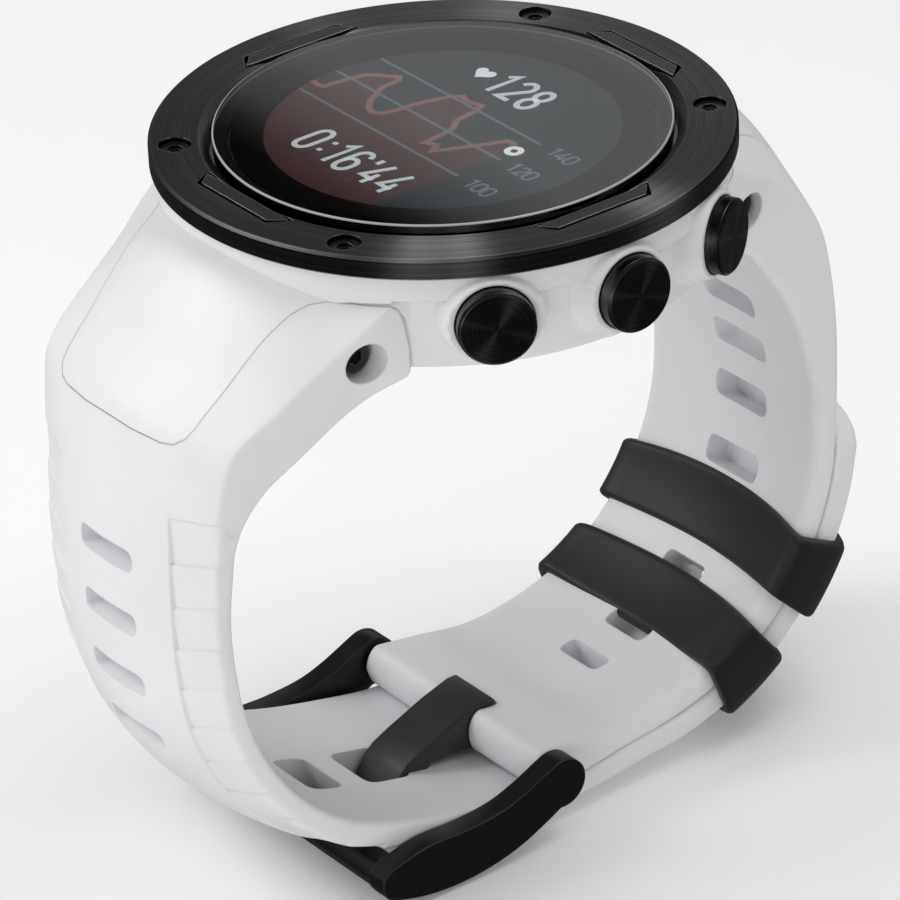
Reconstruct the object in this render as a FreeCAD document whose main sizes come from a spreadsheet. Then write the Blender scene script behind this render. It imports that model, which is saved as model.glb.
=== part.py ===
"""GPS running watch, closed on a strap loop, as a parametric assembly.

Row frame, in millimetres: the origin is the centre of the sensor window's outer face on the
case back.  +Z points out of the display, +X points to 3 o'clock (the side with three pushers)
and +Y points to 12 o'clock.  The strap loop hangs below the case and closes at its bottom.
"""

import FreeCAD
import Part
import math
import os
import Sketcher
from types import SimpleNamespace

Vector = FreeCAD.Vector
Rotation = FreeCAD.Rotation
Placement = FreeCAD.Placement

document = FreeCAD.newDocument("running_watch")
sheet = document.addObject("Spreadsheet::Sheet", "Sizes")
nodes = []

DRIVING_SIZES = [
    # bezel and glass
    ("rim_height", 14.65),
    ("bezel_radius", 23.0),
    ("bezel_height", 1.8),
    ("bezel_bore", 18.3),
    ("bezel_bevel", 0.75),
    ("bezel_edge", 0.22),
    ("notch_length", 11.2),
    ("notch_reach", 20.3),
    ("notch_depth", 0.7),
    ("insert_gap", 0.3),
    ("bezel_screw_circle", 20.9),
    ("bezel_screw_angle", 58.0),
    ("bezel_screw_head", 1.2),
    ("bezel_screw_shank", 0.65),
    ("bezel_screw_length", 3.4),
    ("lens_radius", 18.0),
    ("lens_thickness", 1.6),
    ("lens_rise", 0.37),
    ("lens_edge", 0.3),
    ("display_radius", 14.0),
    # case
    ("case_radius", 22.4),
    ("case_foot_radius", 21.2),
    ("case_foot", 4.4),
    ("cavity_radius", 19.2),
    ("cavity_half_length", 13.3),
    ("cavity_floor", 4.9),
    ("cavity_shelf", 10.9),
    ("top_opening", 16.4),
    ("back_radius", 17.6),
    ("back_half_length", 14.5),
    ("back_skin", 1.2),
    ("sensor_radius", 8.0),
    ("sensor_thickness", 1.2),
    ("back_screw_circle", 15.9),
    # pushers
    ("pusher_height", 9.1),
    ("pusher_angle", 28.0),
    ("pusher_face", 24.4),
    ("pusher_radius", 3.05),
    ("pusher_cap", 1.85),
    ("pusher_travel", 0.6),
    ("boss_face", 22.9),
    ("boss_radius", 3.75),
    ("boss_foot", 4.9),
    ("stem_radius", 0.9),
    ("stem_clearance", 0.05),
    ("stem_end", 17.9),
    # lugs and strap
    ("bar_y", 18.7),
    ("bar_z", 6.0),
    ("bar_radius", 0.9),
    ("bar_half_length", 12.0),
    ("lug_screw_head", 1.3),
    ("lug_screw_head_height", 0.9),
    ("lug_screw_depth", 2.3),
    ("lug_screw_recess", 1.75),
    ("lug_half_width", 9.0),
    ("strap_half_root", 14.5),
    ("strap_half_width", 11.5),
    ("strap_gap", 0.12),
    ("loop_y", 9.3),
    ("loop_z", -18.7),
    ("under_radius", 20.1),
    ("strap_thickness", 2.2),
    ("tail_gap", 0.15),
    ("tail_thickness", 2.35),
    ("tail_end_angle", -8.0),
    # buckle and keepers
    ("pin_y", -0.9),
    ("pin_z", -38.9),
    ("pin_radius", 0.75),
    ("barrel_radius", 2.4),
    ("arm_thickness", 1.9),
    ("tongue_half_width", 2.4),
    ("keeper_wall", 1.15),
    ("keeper_gap", 0.15),
    ("keeper_sweep", 16.0),
    ("upper_keeper_angle", -36.0),
    ("lower_keeper_angle", -61.0),
]


class Size:
    """A number together with the spreadsheet formula that gives it."""

    def __init__(self, value, formula):
        self.value = float(value)
        self.formula = formula

    def __add__(self, other):
        other = as_size(other)
        return Size(self.value + other.value, f"({self.formula} + {other.formula})")

    def __sub__(self, other):
        other = as_size(other)
        return Size(self.value - other.value, f"({self.formula} - {other.formula})")

    def __mul__(self, other):
        other = as_size(other)
        return Size(self.value * other.value, f"({self.formula} * {other.formula})")

    def __truediv__(self, other):
        other = as_size(other)
        return Size(self.value / other.value, f"({self.formula} / {other.formula})")

    def __neg__(self):
        return Size(-self.value, f"(0 - {self.formula})")

    __radd__ = __add__
    __rmul__ = __mul__

    def __rsub__(self, other):
        return as_size(other) - self


def as_size(number):
    return number if isinstance(number, Size) else Size(number, f"{float(number):.6f}")


def cosine(degrees):
    degrees = as_size(degrees)
    return Size(math.cos(math.radians(degrees.value)), f"cos({degrees.formula} * 1 deg)")


def sine(degrees):
    degrees = as_size(degrees)
    return Size(math.sin(math.radians(degrees.value)), f"sin({degrees.formula} * 1 deg)")


def fill_sheet():
    sizes = SimpleNamespace()
    for row, (name, value) in enumerate(DRIVING_SIZES, start=1):
        sheet.set(f"A{row}", name)
        sheet.set(f"B{row}", str(value))
        sheet.setAlias(f"B{row}", name)
        setattr(sizes, name, Size(value, f"Sizes.{name}"))
    document.recompute()
    return sizes


def bind(thing, prop, size):
    """Set a property and bind it to the sheet."""
    size = as_size(size)
    target = prop.split(".")[0]
    if target == prop and not prop.startswith("Constraints"):
        setattr(thing, prop, size.value)
    thing.setExpression(prop, size.formula)


def place(thing, x=0, y=0, z=0):
    """Bind an object's position to the sheet."""
    values = [as_size(value) for value in (x, y, z)]
    thing.Placement.Base = Vector(*[value.value for value in values])
    for axis, value in zip("xyz", values):
        thing.setExpression(f"Placement.Base.{axis}", value.formula)


def keep(thing, label):
    """Name a finished sub-part and list it for writing."""
    thing.Label = label
    nodes.append(thing)
    return thing


# ---------------------------------------------------------------- sketches and features

def new_body(name):
    return document.addObject("PartDesign::Body", name)


def sketch_on(body, name, role, offset=0):
    """A sketch on one of the body's own origin planes, moved along the plane's normal."""
    sketch = body.newObject("Sketcher::SketchObject", name)
    plane = [item for item in body.Origin.OriginFeatures if item.Role == role][0]
    sketch.AttachmentSupport = (plane, "")
    sketch.MapMode = "FlatFace"
    bind(sketch, "AttachmentOffset.Base.z", offset)
    return sketch


def fix_point(sketch, geometry, position, x, y):
    for kind, size in (("DistanceX", x), ("DistanceY", y)):
        size = as_size(size)
        index = sketch.addConstraint(Sketcher.Constraint(kind, geometry, position, size.value))
        sketch.setExpression(f"Constraints[{index}]", size.formula)


def bulge_centre(start, end, radius):
    """Centre of the short arc from start to end; a positive radius turns left on the way."""
    chord = end - start
    half = chord.Length / 2
    rise = math.sqrt(max(radius * radius - half * half, 0))
    side = Vector(-chord.y, chord.x, 0).normalize() * (rise if radius > 0 else -rise)
    return (start + end) * 0.5 + side


def outline(sketch, corners):
    """A closed outline.  A corner is (x, y), or (x, y, radius) when an arc leads up to it."""
    points = [Vector(as_size(c[0]).value, as_size(c[1]).value, 0) for c in corners]
    edges = []
    for index, corner in enumerate(corners):
        start, end = points[index - 1], points[index]
        if len(corner) == 2:
            edges.append((sketch.addGeometry(Part.LineSegment(start, end)), 1, 2))
            continue
        radius = as_size(corner[2])
        centre = bulge_centre(start, end, radius.value)
        from_angle = math.atan2(start.y - centre.y, start.x - centre.x)
        to_angle = math.atan2(end.y - centre.y, end.x - centre.x)
        circle = Part.Circle(centre, Vector(0, 0, 1), abs(radius.value))
        if radius.value > 0:
            arc = sketch.addGeometry(Part.ArcOfCircle(circle, from_angle, to_angle))
            edges.append((arc, 1, 2))
        else:
            arc = sketch.addGeometry(Part.ArcOfCircle(circle, to_angle, from_angle))
            edges.append((arc, 2, 1))
        size = radius if radius.value > 0 else -radius
        limit = sketch.addConstraint(Sketcher.Constraint("Radius", arc, size.value))
        sketch.setExpression(f"Constraints[{limit}]", size.formula)
    for index, corner in enumerate(corners):
        geometry, _, end = edges[index]
        following, start, _ = edges[(index + 1) % len(corners)]
        sketch.addConstraint(Sketcher.Constraint("Coincident", geometry, end, following, start))
        fix_point(sketch, geometry, end, corner[0], corner[1])


def pad(body, sketch, length, both_ways=False):
    feature = body.newObject("PartDesign::Pad", f"{sketch.Name}_pad")
    feature.Profile = sketch
    bind(feature, "Length", length)
    feature.Midplane = both_ways
    return feature


def turned(name, corners):
    """A body turned about the watch's Z axis from an outline of (radius, height) corners."""
    body = new_body(name)
    sketch = sketch_on(body, f"{name}_profile", "XZ_Plane")
    outline(sketch, corners)
    feature = body.newObject("PartDesign::Revolution", f"{name}_turn")
    feature.Profile = sketch
    feature.ReferenceAxis = (sketch, ["V_Axis"])
    feature.Angle = 360.0
    return body


def ring_corners(inner, outer, low, high):
    return [(inner, low), (outer, low), (outer, high), (inner, high)]


def slab(name, corners, half_width):
    """A body with a side outline in the YZ plane, as wide as twice half_width along X."""
    body = new_body(name)
    sketch = sketch_on(body, f"{name}_side", "YZ_Plane")
    outline(sketch, corners)
    pad(body, sketch, half_width * 2, both_ways=True)
    return body


def centred_box(name, size_x, size_y, size_z, x=0, y=0, z=0):
    """A block centred on (x, y) that stands on height z."""
    block = document.addObject("Part::Box", name)
    size_x, size_y = as_size(size_x), as_size(size_y)
    bind(block, "Length", size_x)
    bind(block, "Width", size_y)
    bind(block, "Height", size_z)
    place(block, as_size(x) - size_x / 2, as_size(y) - size_y / 2, z)
    return block


def post(name, radius, length, x=0, y=0, z=0):
    """A cylinder that stands on height z."""
    cylinder = document.addObject("Part::Cylinder", name)
    bind(cylinder, "Radius", radius)
    bind(cylinder, "Height", length)
    place(cylinder, x, y, z)
    return cylinder


def crossbar(name, radius, half_length, y, z):
    """A cylinder along X, centred on the watch's mid plane."""
    half_length = as_size(half_length)
    cylinder = document.addObject("Part::Cylinder", name)
    bind(cylinder, "Radius", radius)
    bind(cylinder, "Height", half_length * 2)
    cylinder.Placement.Rotation = Rotation(Vector(0, 1, 0), 90)
    place(cylinder, -half_length, y, z)
    return cylinder


def cut(name, base, *tools):
    result = document.addObject("Part::Cut", name)
    result.Base = base
    result.Tool = tools[0] if len(tools) == 1 else together(f"{name}_tools", *tools)
    return result


def together(name, *shapes):
    result = document.addObject("Part::MultiFuse", name)
    result.Shapes = list(shapes)
    return result


def shared(name, base, tool):
    result = document.addObject("Part::Common", name)
    result.Base = base
    result.Tool = tool
    return result


def group(name, *shapes):
    """Separate solids that share one node."""
    result = document.addObject("Part::Compound", name)
    result.Links = list(shapes)
    return result


def mirrored(name, source, normal):
    result = document.addObject("Part::Mirroring", name)
    result.Source = source
    result.Normal = normal
    return result


def outward(thing, azimuth, distance, height):
    """Stand an object's own Z axis along the outward radius at an azimuth from +X."""
    thing.Placement = Placement(
        Vector(
            distance.value * math.cos(math.radians(azimuth)),
            distance.value * math.sin(math.radians(azimuth)),
            height.value,
        ),
        Rotation(Vector(0, 0, 1), azimuth).multiply(Rotation(Vector(0, 1, 0), 90)),
    )
    thing.setExpression("Placement.Base.x", f"{distance.formula} * cos({azimuth} deg)")
    thing.setExpression("Placement.Base.y", f"{distance.formula} * sin({azimuth} deg)")
    thing.setExpression("Placement.Base.z", height.formula)
    return thing


def radial_post(name, radius, azimuth, start, length, height):
    cylinder = document.addObject("Part::Cylinder", name)
    bind(cylinder, "Radius", radius)
    bind(cylinder, "Height", length)
    return outward(cylinder, azimuth, as_size(start), as_size(height))


S = fill_sheet()

PUSHERS = {
    "upper_right": S.pusher_angle.value,
    "middle_right": 0.0,
    "lower_right": -S.pusher_angle.value,
    "upper_left": 180.0 - S.pusher_angle.value,
    "lower_left": 180.0 + S.pusher_angle.value,
}
BEZEL_SCREW_AZIMUTHS = [
    S.bezel_screw_angle.value,
    180.0 - S.bezel_screw_angle.value,
    180.0 + S.bezel_screw_angle.value,
    -S.bezel_screw_angle.value,
]
QUARTERS = (0.0, 90.0, 180.0, 270.0)


# ---------------------------------------------------------------- bezel, glass and display

def bezel_low():
    return S.rim_height - S.bezel_height


def bezel_screw_holes(name, radius, length, z):
    holes = []
    for index, azimuth in enumerate(BEZEL_SCREW_AZIMUTHS):
        x = S.bezel_screw_circle * cosine(azimuth)
        y = S.bezel_screw_circle * sine(azimuth)
        holes.append(post(f"{name}_{index}", radius, length, x, y, z))
    return holes


def notch_corners(inset):
    """Plan of one bezel notch on the +X side: its ends slant outwards to the middle."""
    half = S.notch_length / 2 - inset
    reach = S.notch_reach - inset
    slant = as_size(1.1)
    return [
        (S.lens_radius + 0.45 + inset, -half),
        (reach, slant - half),
        (reach, half - slant),
        (S.lens_radius + 0.45 + inset, half),
    ]


def notch_blocks(name, inset, low, high):
    blocks = []
    for index, azimuth in enumerate(QUARTERS):
        body = new_body(f"{name}_{index}")
        sketch = sketch_on(body, f"{name}_{index}_plan", "XY_Plane", low)
        outline(sketch, notch_corners(as_size(inset)))
        pad(body, sketch, high - low)
        body.Placement.Rotation = Rotation(Vector(0, 0, 1), azimuth)
        blocks.append(body)
    return blocks


def make_bezel():
    blank = turned("bezel_blank", [
        (S.bezel_bore, bezel_low()),
        (S.bezel_radius - 0.15, bezel_low()),
        (S.bezel_radius, bezel_low() + 0.15),
        (S.bezel_radius, S.rim_height - S.bezel_edge),
        (S.bezel_radius - S.bezel_edge, S.rim_height),
        (S.bezel_bore + S.bezel_bevel, S.rim_height),
        (S.bezel_bore, S.rim_height - 0.5),
    ])
    notches = notch_blocks("bezel_notch", 0, S.rim_height - S.notch_depth, S.rim_height + 1)
    heads = bezel_screw_holes(
        "bezel_counterbore", S.bezel_screw_head + 0.12, S.bezel_height, S.rim_height - 0.95)
    shanks = bezel_screw_holes(
        "bezel_clearance", S.bezel_screw_shank + 0.1, S.bezel_height * 2, bezel_low() - 0.5)
    keep(cut("bezel", blank, *notches, *heads, *shanks), "bezel")


def make_bezel_inserts():
    floor = S.rim_height - S.notch_depth + 0.02
    blocks = notch_blocks("insert", S.insert_gap, floor, S.rim_height + 0.05)
    keep(group("bezel_inserts", *blocks), "bezel_inserts")


def make_bezel_screws():
    screws = []
    head_low = S.rim_height - 0.93
    shank_low = head_low - S.bezel_screw_length
    for index, azimuth in enumerate(BEZEL_SCREW_AZIMUTHS):
        x = S.bezel_screw_circle * cosine(azimuth)
        y = S.bezel_screw_circle * sine(azimuth)
        head = post(f"bezel_screw_head_{index}", S.bezel_screw_head, 0.6, x, y, head_low)
        shank = post(f"bezel_screw_shank_{index}", S.bezel_screw_shank,
                     S.bezel_screw_length + 0.1, x, y, shank_low)
        socket = document.addObject("Part::Prism", f"bezel_screw_socket_{index}")
        socket.Polygon = 6
        bind(socket, "Circumradius", S.bezel_screw_head * 0.55)
        bind(socket, "Height", 1)
        place(socket, x, y, head_low + 0.25)
        screws.append(cut(f"bezel_screw_{index}",
                          together(f"bezel_screw_solid_{index}", head, shank), socket))
    keep(group("bezel_screws", *screws), "bezel_screws")


def lens_top():
    return S.rim_height + S.lens_rise


def make_lens():
    low = lens_top() - S.lens_thickness
    keep(turned("lens", [
        (0, low),
        (S.lens_radius, low),
        (S.lens_radius, lens_top() - S.lens_edge),
        (S.lens_radius - S.lens_edge, lens_top()),
        (0, lens_top()),
    ]), "lens")


def make_display_stack():
    lens_low = lens_top() - S.lens_thickness
    keep(turned("lens_gasket", ring_corners(
        S.top_opening + 0.4, S.lens_radius - 0.1, lens_low - 0.64, lens_low - 0.02)),
        "lens_gasket")
    keep(turned("display_mask", ring_corners(
        S.display_radius + 0.05, S.top_opening + 0.2, lens_low - 0.2, lens_low - 0.05)),
        "display_mask")
    panel_high = lens_low - 0.25
    panel_low = panel_high - 0.7
    keep(post("display_panel", S.display_radius + 0.6, 0.7, 0, 0, panel_low), "display_panel")
    keep(post("display_module", S.top_opening - 0.5, 1.6, 0, 0, panel_low - 1.65),
         "display_module")


def make_antenna_ring():
    ring = turned("antenna_blank", ring_corners(
        S.top_opening + 0.75, S.top_opening + 3.05, bezel_low() - 0.95, bezel_low() - 0.12))
    gap = centred_box("antenna_gap", 3, 1.6, 4, S.top_opening + 1.9, 0, bezel_low() - 2)
    keep(cut("antenna_ring", ring, gap), "antenna_ring")


# ---------------------------------------------------------------- case

def lug_corners(gap):
    """Side outline of the 6 o'clock lug: a shelf that leads the strap down and ends in a tongue."""
    return [
        (-14.0, 11.0),
        (-20.4, 11.0 + gap),
        (-22.6 - gap, 9.1 + gap),
        (-29.9 - gap, 4.3 + gap),
        (-32.9 - gap, -0.4, 10.0),
        (-31.3, -0.8 - gap),
        (-28.9, 2.2 - gap, -10.0),
        (-22.4 - gap, 5.9 - gap),
        (-21.3 - gap, 4.2 - gap),
        (-14.0, 4.5 - gap),
    ]


def strap_pocket_corners():
    """Side outline of the room that the case leaves for the strap's root."""
    gap = S.strap_gap
    return [
        (-15.3 + gap, 10.0 + gap),
        (-26.0, 8.6 + gap),
        (-26.0, 0.0),
        (-15.0 + gap, 2.0),
        (-15.0 + gap, 4.0),
        (-14.6 + gap, 5.2),
        (-14.4 + gap, 7.0),
        (-14.6 + gap, 8.8),
    ]


def boss(name, azimuth):
    cone = document.addObject("Part::Cone", name)
    start = S.boss_face - 3.2
    bind(cone, "Radius1", S.boss_foot)
    bind(cone, "Radius2", S.boss_radius)
    bind(cone, "Height", S.boss_face - start)
    return outward(cone, azimuth, start, S.pusher_height)


def pusher_bores(azimuth, name):
    height = S.pusher_height
    counterbore = radial_post(f"counterbore_{name}", S.pusher_radius + 0.1, azimuth,
                              S.boss_face - 1.3, 3, height)
    bore = radial_post(f"stem_bore_{name}", S.stem_radius + S.stem_clearance, azimuth,
                       16.0, 8, height)
    gland = radial_post(f"gland_{name}", S.stem_radius + 0.72, azimuth,
                        S.boss_face - 2.5, 0.75, height)
    return [counterbore, bore, gland]


def make_mid_case():
    shell = turned("case_shell", [
        (0, S.case_foot),
        (S.case_foot_radius - 1.2, S.case_foot),
        (S.case_foot_radius, S.case_foot + 1.0, 1.6),
        (S.case_radius, S.case_foot + 5.6),
        (S.case_radius, bezel_low() - 0.1),
        (0, bezel_low() - 0.1),
    ])
    lug = slab("lug_six", lug_corners(0), S.lug_half_width)
    lug_twelve = mirrored("lug_twelve", lug, Vector(0, 1, 0))
    root_room = slab("root_room", strap_pocket_corners(), S.strap_half_root + S.strap_gap)
    root_room_twelve = mirrored("root_room_twelve", root_room, Vector(0, 1, 0))
    open_shell = cut("open_shell", shell, root_room, root_room_twelve)
    bosses = [boss(f"boss_{name}", azimuth) for name, azimuth in PUSHERS.items()]
    outside = together("case_outside", open_shell, lug, lug_twelve, *bosses)

    cavity = shared("cavity",
                    post("cavity_barrel", S.cavity_radius, S.cavity_shelf - S.cavity_floor,
                         0, 0, S.cavity_floor),
                    centred_box("cavity_block", 50, S.cavity_half_length * 2, 20))
    top = post("cavity_top", S.top_opening, 6, 0, 0, S.cavity_shelf - 0.1)
    back_opening = flatted_disc("back_opening", 2.7, 3, S.case_foot - 1)
    antenna_groove = turned("antenna_groove", ring_corners(
        S.top_opening + 0.7, S.top_opening + 3.1, bezel_low() - 1.0, bezel_low() + 0.5))
    bars = [crossbar(f"bar_bore_{side}", S.bar_radius + 0.04, 12, S.bar_y * side, S.bar_z)
            for side in (1, -1)]
    tools = [cavity, top, back_opening, antenna_groove, *bars]
    for name, azimuth in PUSHERS.items():
        tools += pusher_bores(azimuth, name)
    tools += bezel_screw_holes("case_screw_bore", S.bezel_screw_shank + 0.05, 4, 9.5)
    tools.append(post("bezel_seat", 30, 4, 0, 0, bezel_low() - 0.1))
    tools += back_screw_posts("case_back_thread", 0.55, 2.6, S.case_foot - 1)
    keep(cut("mid_case", outside, *tools), "mid_case")


def flatted_disc(name, inset, height, z):
    """The case back's plan, a disc with two flats, drawn in by inset."""
    disc = post(f"{name}_disc", S.back_radius - inset, height, 0, 0, z)
    flats = centred_box(f"{name}_flats", 50, (S.back_half_length - inset) * 2, height, 0, 0, z)
    return shared(name, disc, flats)


def back_screw_posts(name, radius, length, z):
    azimuths = (38.0, 142.0, 218.0, 322.0)
    posts = []
    for index, azimuth in enumerate(azimuths):
        x = S.back_screw_circle * cosine(azimuth)
        y = S.back_screw_circle * sine(azimuth)
        posts.append(post(f"{name}_{index}", radius, length, x, y, z))
    return posts


def make_case_back():
    joint = S.case_foot - 0.04
    window = S.sensor_radius + 0.08
    blank = turned("back_blank", [
        (window, 0.25),
        (window + 1.6, 0.25),
        (S.back_radius, joint - 0.75, 32.0),
        (S.back_radius, joint),
        (S.back_radius - 3.4, joint),
        (window + 1.5, 0.25 + S.back_skin + 0.25, -24.0),
        (window, 0.25 + S.back_skin + 0.25),
    ])
    sides = []
    for side in (1, -1):
        sides.append(centred_box(f"back_side_{side}", 50, 10, 8, 0,
                                 (S.back_half_length + 5) * side, -1))
    groove = seal_ring("back_seal_groove", 0.4, 0.95, joint - 0.4, 1)
    holes = back_screw_posts("back_hole", 0.7, 6, 0)
    counterbores = back_screw_posts("back_counterbore", 1.15, 3, joint - 3.6)
    contacts = [post(f"contact_hole_{index}", 0.92, 6, x, y, -1)
                for index, (x, y) in enumerate(contact_places())]
    keep(cut("case_back", blank, *sides, groove, *holes, *counterbores, *contacts), "case_back")


def seal_ring(name, outer_inset, inner_inset, z, height):
    """A flat ring that follows the case back's edge."""
    return cut(name, flatted_disc(f"{name}_outer", outer_inset, height, z),
               flatted_disc(f"{name}_inner", inner_inset, height, z))


def contact_places():
    spacing = 2.54
    return [((index - 1.5) * spacing, -11.6) for index in range(4)]


def make_charging_contacts():
    pins = []
    for index, (x, y) in enumerate(contact_places()):
        pins.append(post(f"contact_{index}", 0.85, 2.4, x, y, 0.62))
    keep(group("charging_contacts", *pins), "charging_contacts")


def make_back_seal_and_screws():
    joint = S.case_foot - 0.04
    keep(seal_ring("case_back_gasket", 0.45, 0.9, joint - 0.38, 0.36), "case_back_gasket")
    screws = []
    for index, (head, shank) in enumerate(zip(
            back_screw_posts("back_head", 1.05, 0.6, joint - 1.25),
            back_screw_posts("back_shank", 0.5, 2.3, joint - 0.7))):
        screws.append(together(f"back_screw_{index}", head, shank))
    keep(group("case_back_screws", *screws), "case_back_screws")


def make_sensor():
    keep(turned("sensor_window", [
        (0, 0),
        (S.sensor_radius - 0.4, 0),
        (S.sensor_radius, 0.35, 1.2),
        (S.sensor_radius, S.sensor_thickness),
        (0, S.sensor_thickness),
    ]), "sensor_window")
    keep(post("sensor_board", S.sensor_radius - 0.6, 0.6, 0, 0, 2.2), "sensor_board")
    lights = [centred_box(f"sensor_light_{index}", 1.6, 1.1, 0.6, 3.6 * (index - 1), 0, 1.55)
              for index in range(3)]
    keep(group("sensor_lights", *lights), "sensor_lights")


# ---------------------------------------------------------------- inside the case

def make_inside():
    keep(centred_box("battery", 21.0, 20.0, 3.5, -1.0, 0, 5.1), "battery")
    plate = post("board_disc", S.cavity_radius - 3.4, 0.8, 0, 0, 9.0)
    trim = centred_box("board_trim", 50, S.cavity_half_length * 2 - 1.0, 3, 0, 0, 8.5)
    keep(shared("main_board", plate, trim), "main_board")
    keep(centred_box("board_shield", 14, 11, 0.45, -4, 3, 9.82), "board_shield")
    chips = [
        centred_box("chip_radio", 4, 4, 0.4, 8, 5, 9.82),
        centred_box("chip_memory", 5, 3.2, 0.4, 8, -4, 9.82),
        centred_box("chip_compass", 2.2, 2.2, 0.4, -4, -8, 9.82),
    ]
    keep(group("board_chips", *chips), "board_chips")
    keep(centred_box("display_flex", 6, 0.15, 1.2, 0, 12.4, 8.98 - 1.3), "display_flex")
    keep(centred_box("sensor_flex", 3, 0.2, 3.6, 8.5, -11.6, 5.1), "sensor_flex")


def make_vibration_motor():
    """A coin motor on its side: a fixed can and an off-centre weight that turns inside it."""
    x, y, z = 14.6, 0, 5.1
    can = cut("motor_can_blank", post("motor_can_out", 2.9, 2.7, x, y, z),
              post("motor_can_in", 2.6, 2.1, x, y, z + 0.3))
    axle = post("motor_axle", 0.4, 2.3, x, y, z + 0.2)
    keep(together("vibration_motor", can, axle), "vibration_motor")
    disc = cut("weight_disc", post("weight_out", 2.4, 1.4, x, y, z + 0.6),
               post("weight_bore", 0.46, 3, x, y, z))
    half = centred_box("weight_relief", 3.2, 6, 3, x + 2.4, y, z)
    keep(cut("vibration_weight", disc, half), "vibration_weight")


# ---------------------------------------------------------------- pushers

def make_pusher(name, azimuth):
    height = S.pusher_height
    cap = radial_post(f"cap_{name}", S.pusher_radius, azimuth, S.pusher_face - S.pusher_cap,
                      S.pusher_cap, height)
    edge = document.addObject("Part::Chamfer", f"cap_edge_{name}")
    edge.Base = cap
    document.recompute()
    edge.Edges = [(outer_rim(cap, S.pusher_face.value), 0.22, 0.22)]
    stem = radial_post(f"stem_{name}", S.stem_radius, azimuth, S.stem_end,
                       S.pusher_face - S.stem_end - 1.0, height)
    groove_ring = radial_post(f"stem_groove_out_{name}", S.stem_radius + 0.5, azimuth,
                              S.stem_end + 0.55, 0.45, height)
    groove_core = radial_post(f"stem_groove_core_{name}", 0.6, azimuth,
                              S.stem_end + 0.5, 0.6, height)
    groove = cut(f"stem_groove_{name}", groove_ring, groove_core)
    solid = together(f"pusher_solid_{name}", edge, stem)
    keep(cut(f"pusher_{name}", solid, groove), f"pusher_{name}")

    ring = radial_post(f"clip_out_{name}", 1.55, azimuth, S.stem_end + 0.6, 0.35, height)
    bore = radial_post(f"clip_in_{name}", 0.64, azimuth, S.stem_end, 2, height)
    mouth = document.addObject("Part::Box", f"clip_mouth_{name}")
    bind(mouth, "Length", 1.1)
    bind(mouth, "Width", 2)
    bind(mouth, "Height", 2)
    spin = Rotation(Vector(0, 0, 1), azimuth).multiply(Rotation(Vector(0, 1, 0), 90))
    corner = spin.multVec(Vector(-0.55, -2.0, 0)) + Vector(
        S.stem_end.value * math.cos(math.radians(azimuth)),
        S.stem_end.value * math.sin(math.radians(azimuth)),
        height.value)
    mouth.Placement = Placement(corner, spin)
    keep(cut(f"pusher_clip_{name}", ring, bore, mouth), f"pusher_clip_{name}")


def outer_rim(cylinder, distance):
    """Index of the circular edge furthest from the watch's axis."""
    reach = []
    for index, edge in enumerate(cylinder.Shape.Edges, start=1):
        centre = edge.CenterOfMass
        flat = Vector(centre.x, centre.y, 0).Length
        if edge.Length > 4 and len(edge.Vertexes) == 1 and abs(flat - distance) < 0.01:
            reach.append(index)
    return reach[0]


def make_pusher_hardware():
    seals, springs, switches = [], [], []
    for name, azimuth in PUSHERS.items():
        seal = document.addObject("Part::Torus", f"seal_{name}")
        bind(seal, "Radius1", 1.29)
        bind(seal, "Radius2", 0.3)
        seals.append(outward(seal, azimuth, S.boss_face - 2.1, S.pusher_height))
        washer = radial_post(f"spring_out_{name}", 2.5, azimuth, S.boss_face - 1.28, 0.25,
                             S.pusher_height)
        hole = radial_post(f"spring_in_{name}", 1.5, azimuth, S.boss_face - 2, 2,
                           S.pusher_height)
        springs.append(cut(f"spring_{name}", washer, hole))
        switches.append(radial_post(f"switch_{name}", 1.3, azimuth,
                                    S.stem_end - S.pusher_travel - 0.95, 0.85,
                                    S.pusher_height))
    keep(group("pusher_seals", *seals), "pusher_seals")
    keep(group("pusher_springs", *springs), "pusher_springs")
    keep(group("pusher_switches", *switches), "pusher_switches")


# ---------------------------------------------------------------- straps

def loop_point(radius, degrees):
    """A point on a circle about the centre that the strap's lower bend follows."""
    return (S.loop_y + radius * cosine(degrees), S.loop_z + radius * sine(degrees))


def tail_inner():
    return S.under_radius + S.strap_thickness + S.tail_gap


def hole_strap_corners():
    outer = tail_inner() + S.tail_thickness
    return [
        (-15.3, 10.0),
        (-21.9, 7.9),
        (-29.6, 2.9),
        (-32.7, -3.0, 9.0),
        (-32.4, -21.8, 70.0),
        (-22.2, -38.5, 27.0),
        (-10.0, -42.6, 30.0),
        (*loop_point(outer, -90), 70.0),
        (*loop_point(outer, S.tail_end_angle), outer),
        loop_point(tail_inner(), S.tail_end_angle),
        (*loop_point(tail_inner(), -90), -tail_inner()),
        (S.pin_y, S.pin_z - S.barrel_radius - 0.15),
        (-15.4, -38.7, -45.0),
        (-26.5, -29.5, -24.0),
        (-30.6, -13.7, -40.0),
        (-29.4, -5.2, -25.0),
        (-25.0, -1.1, -8.0),
        (-15.0, 4.0),
        (-14.6, 5.2),
        (-14.4, 7.0),
        (-14.6, 8.8),
    ]


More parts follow.
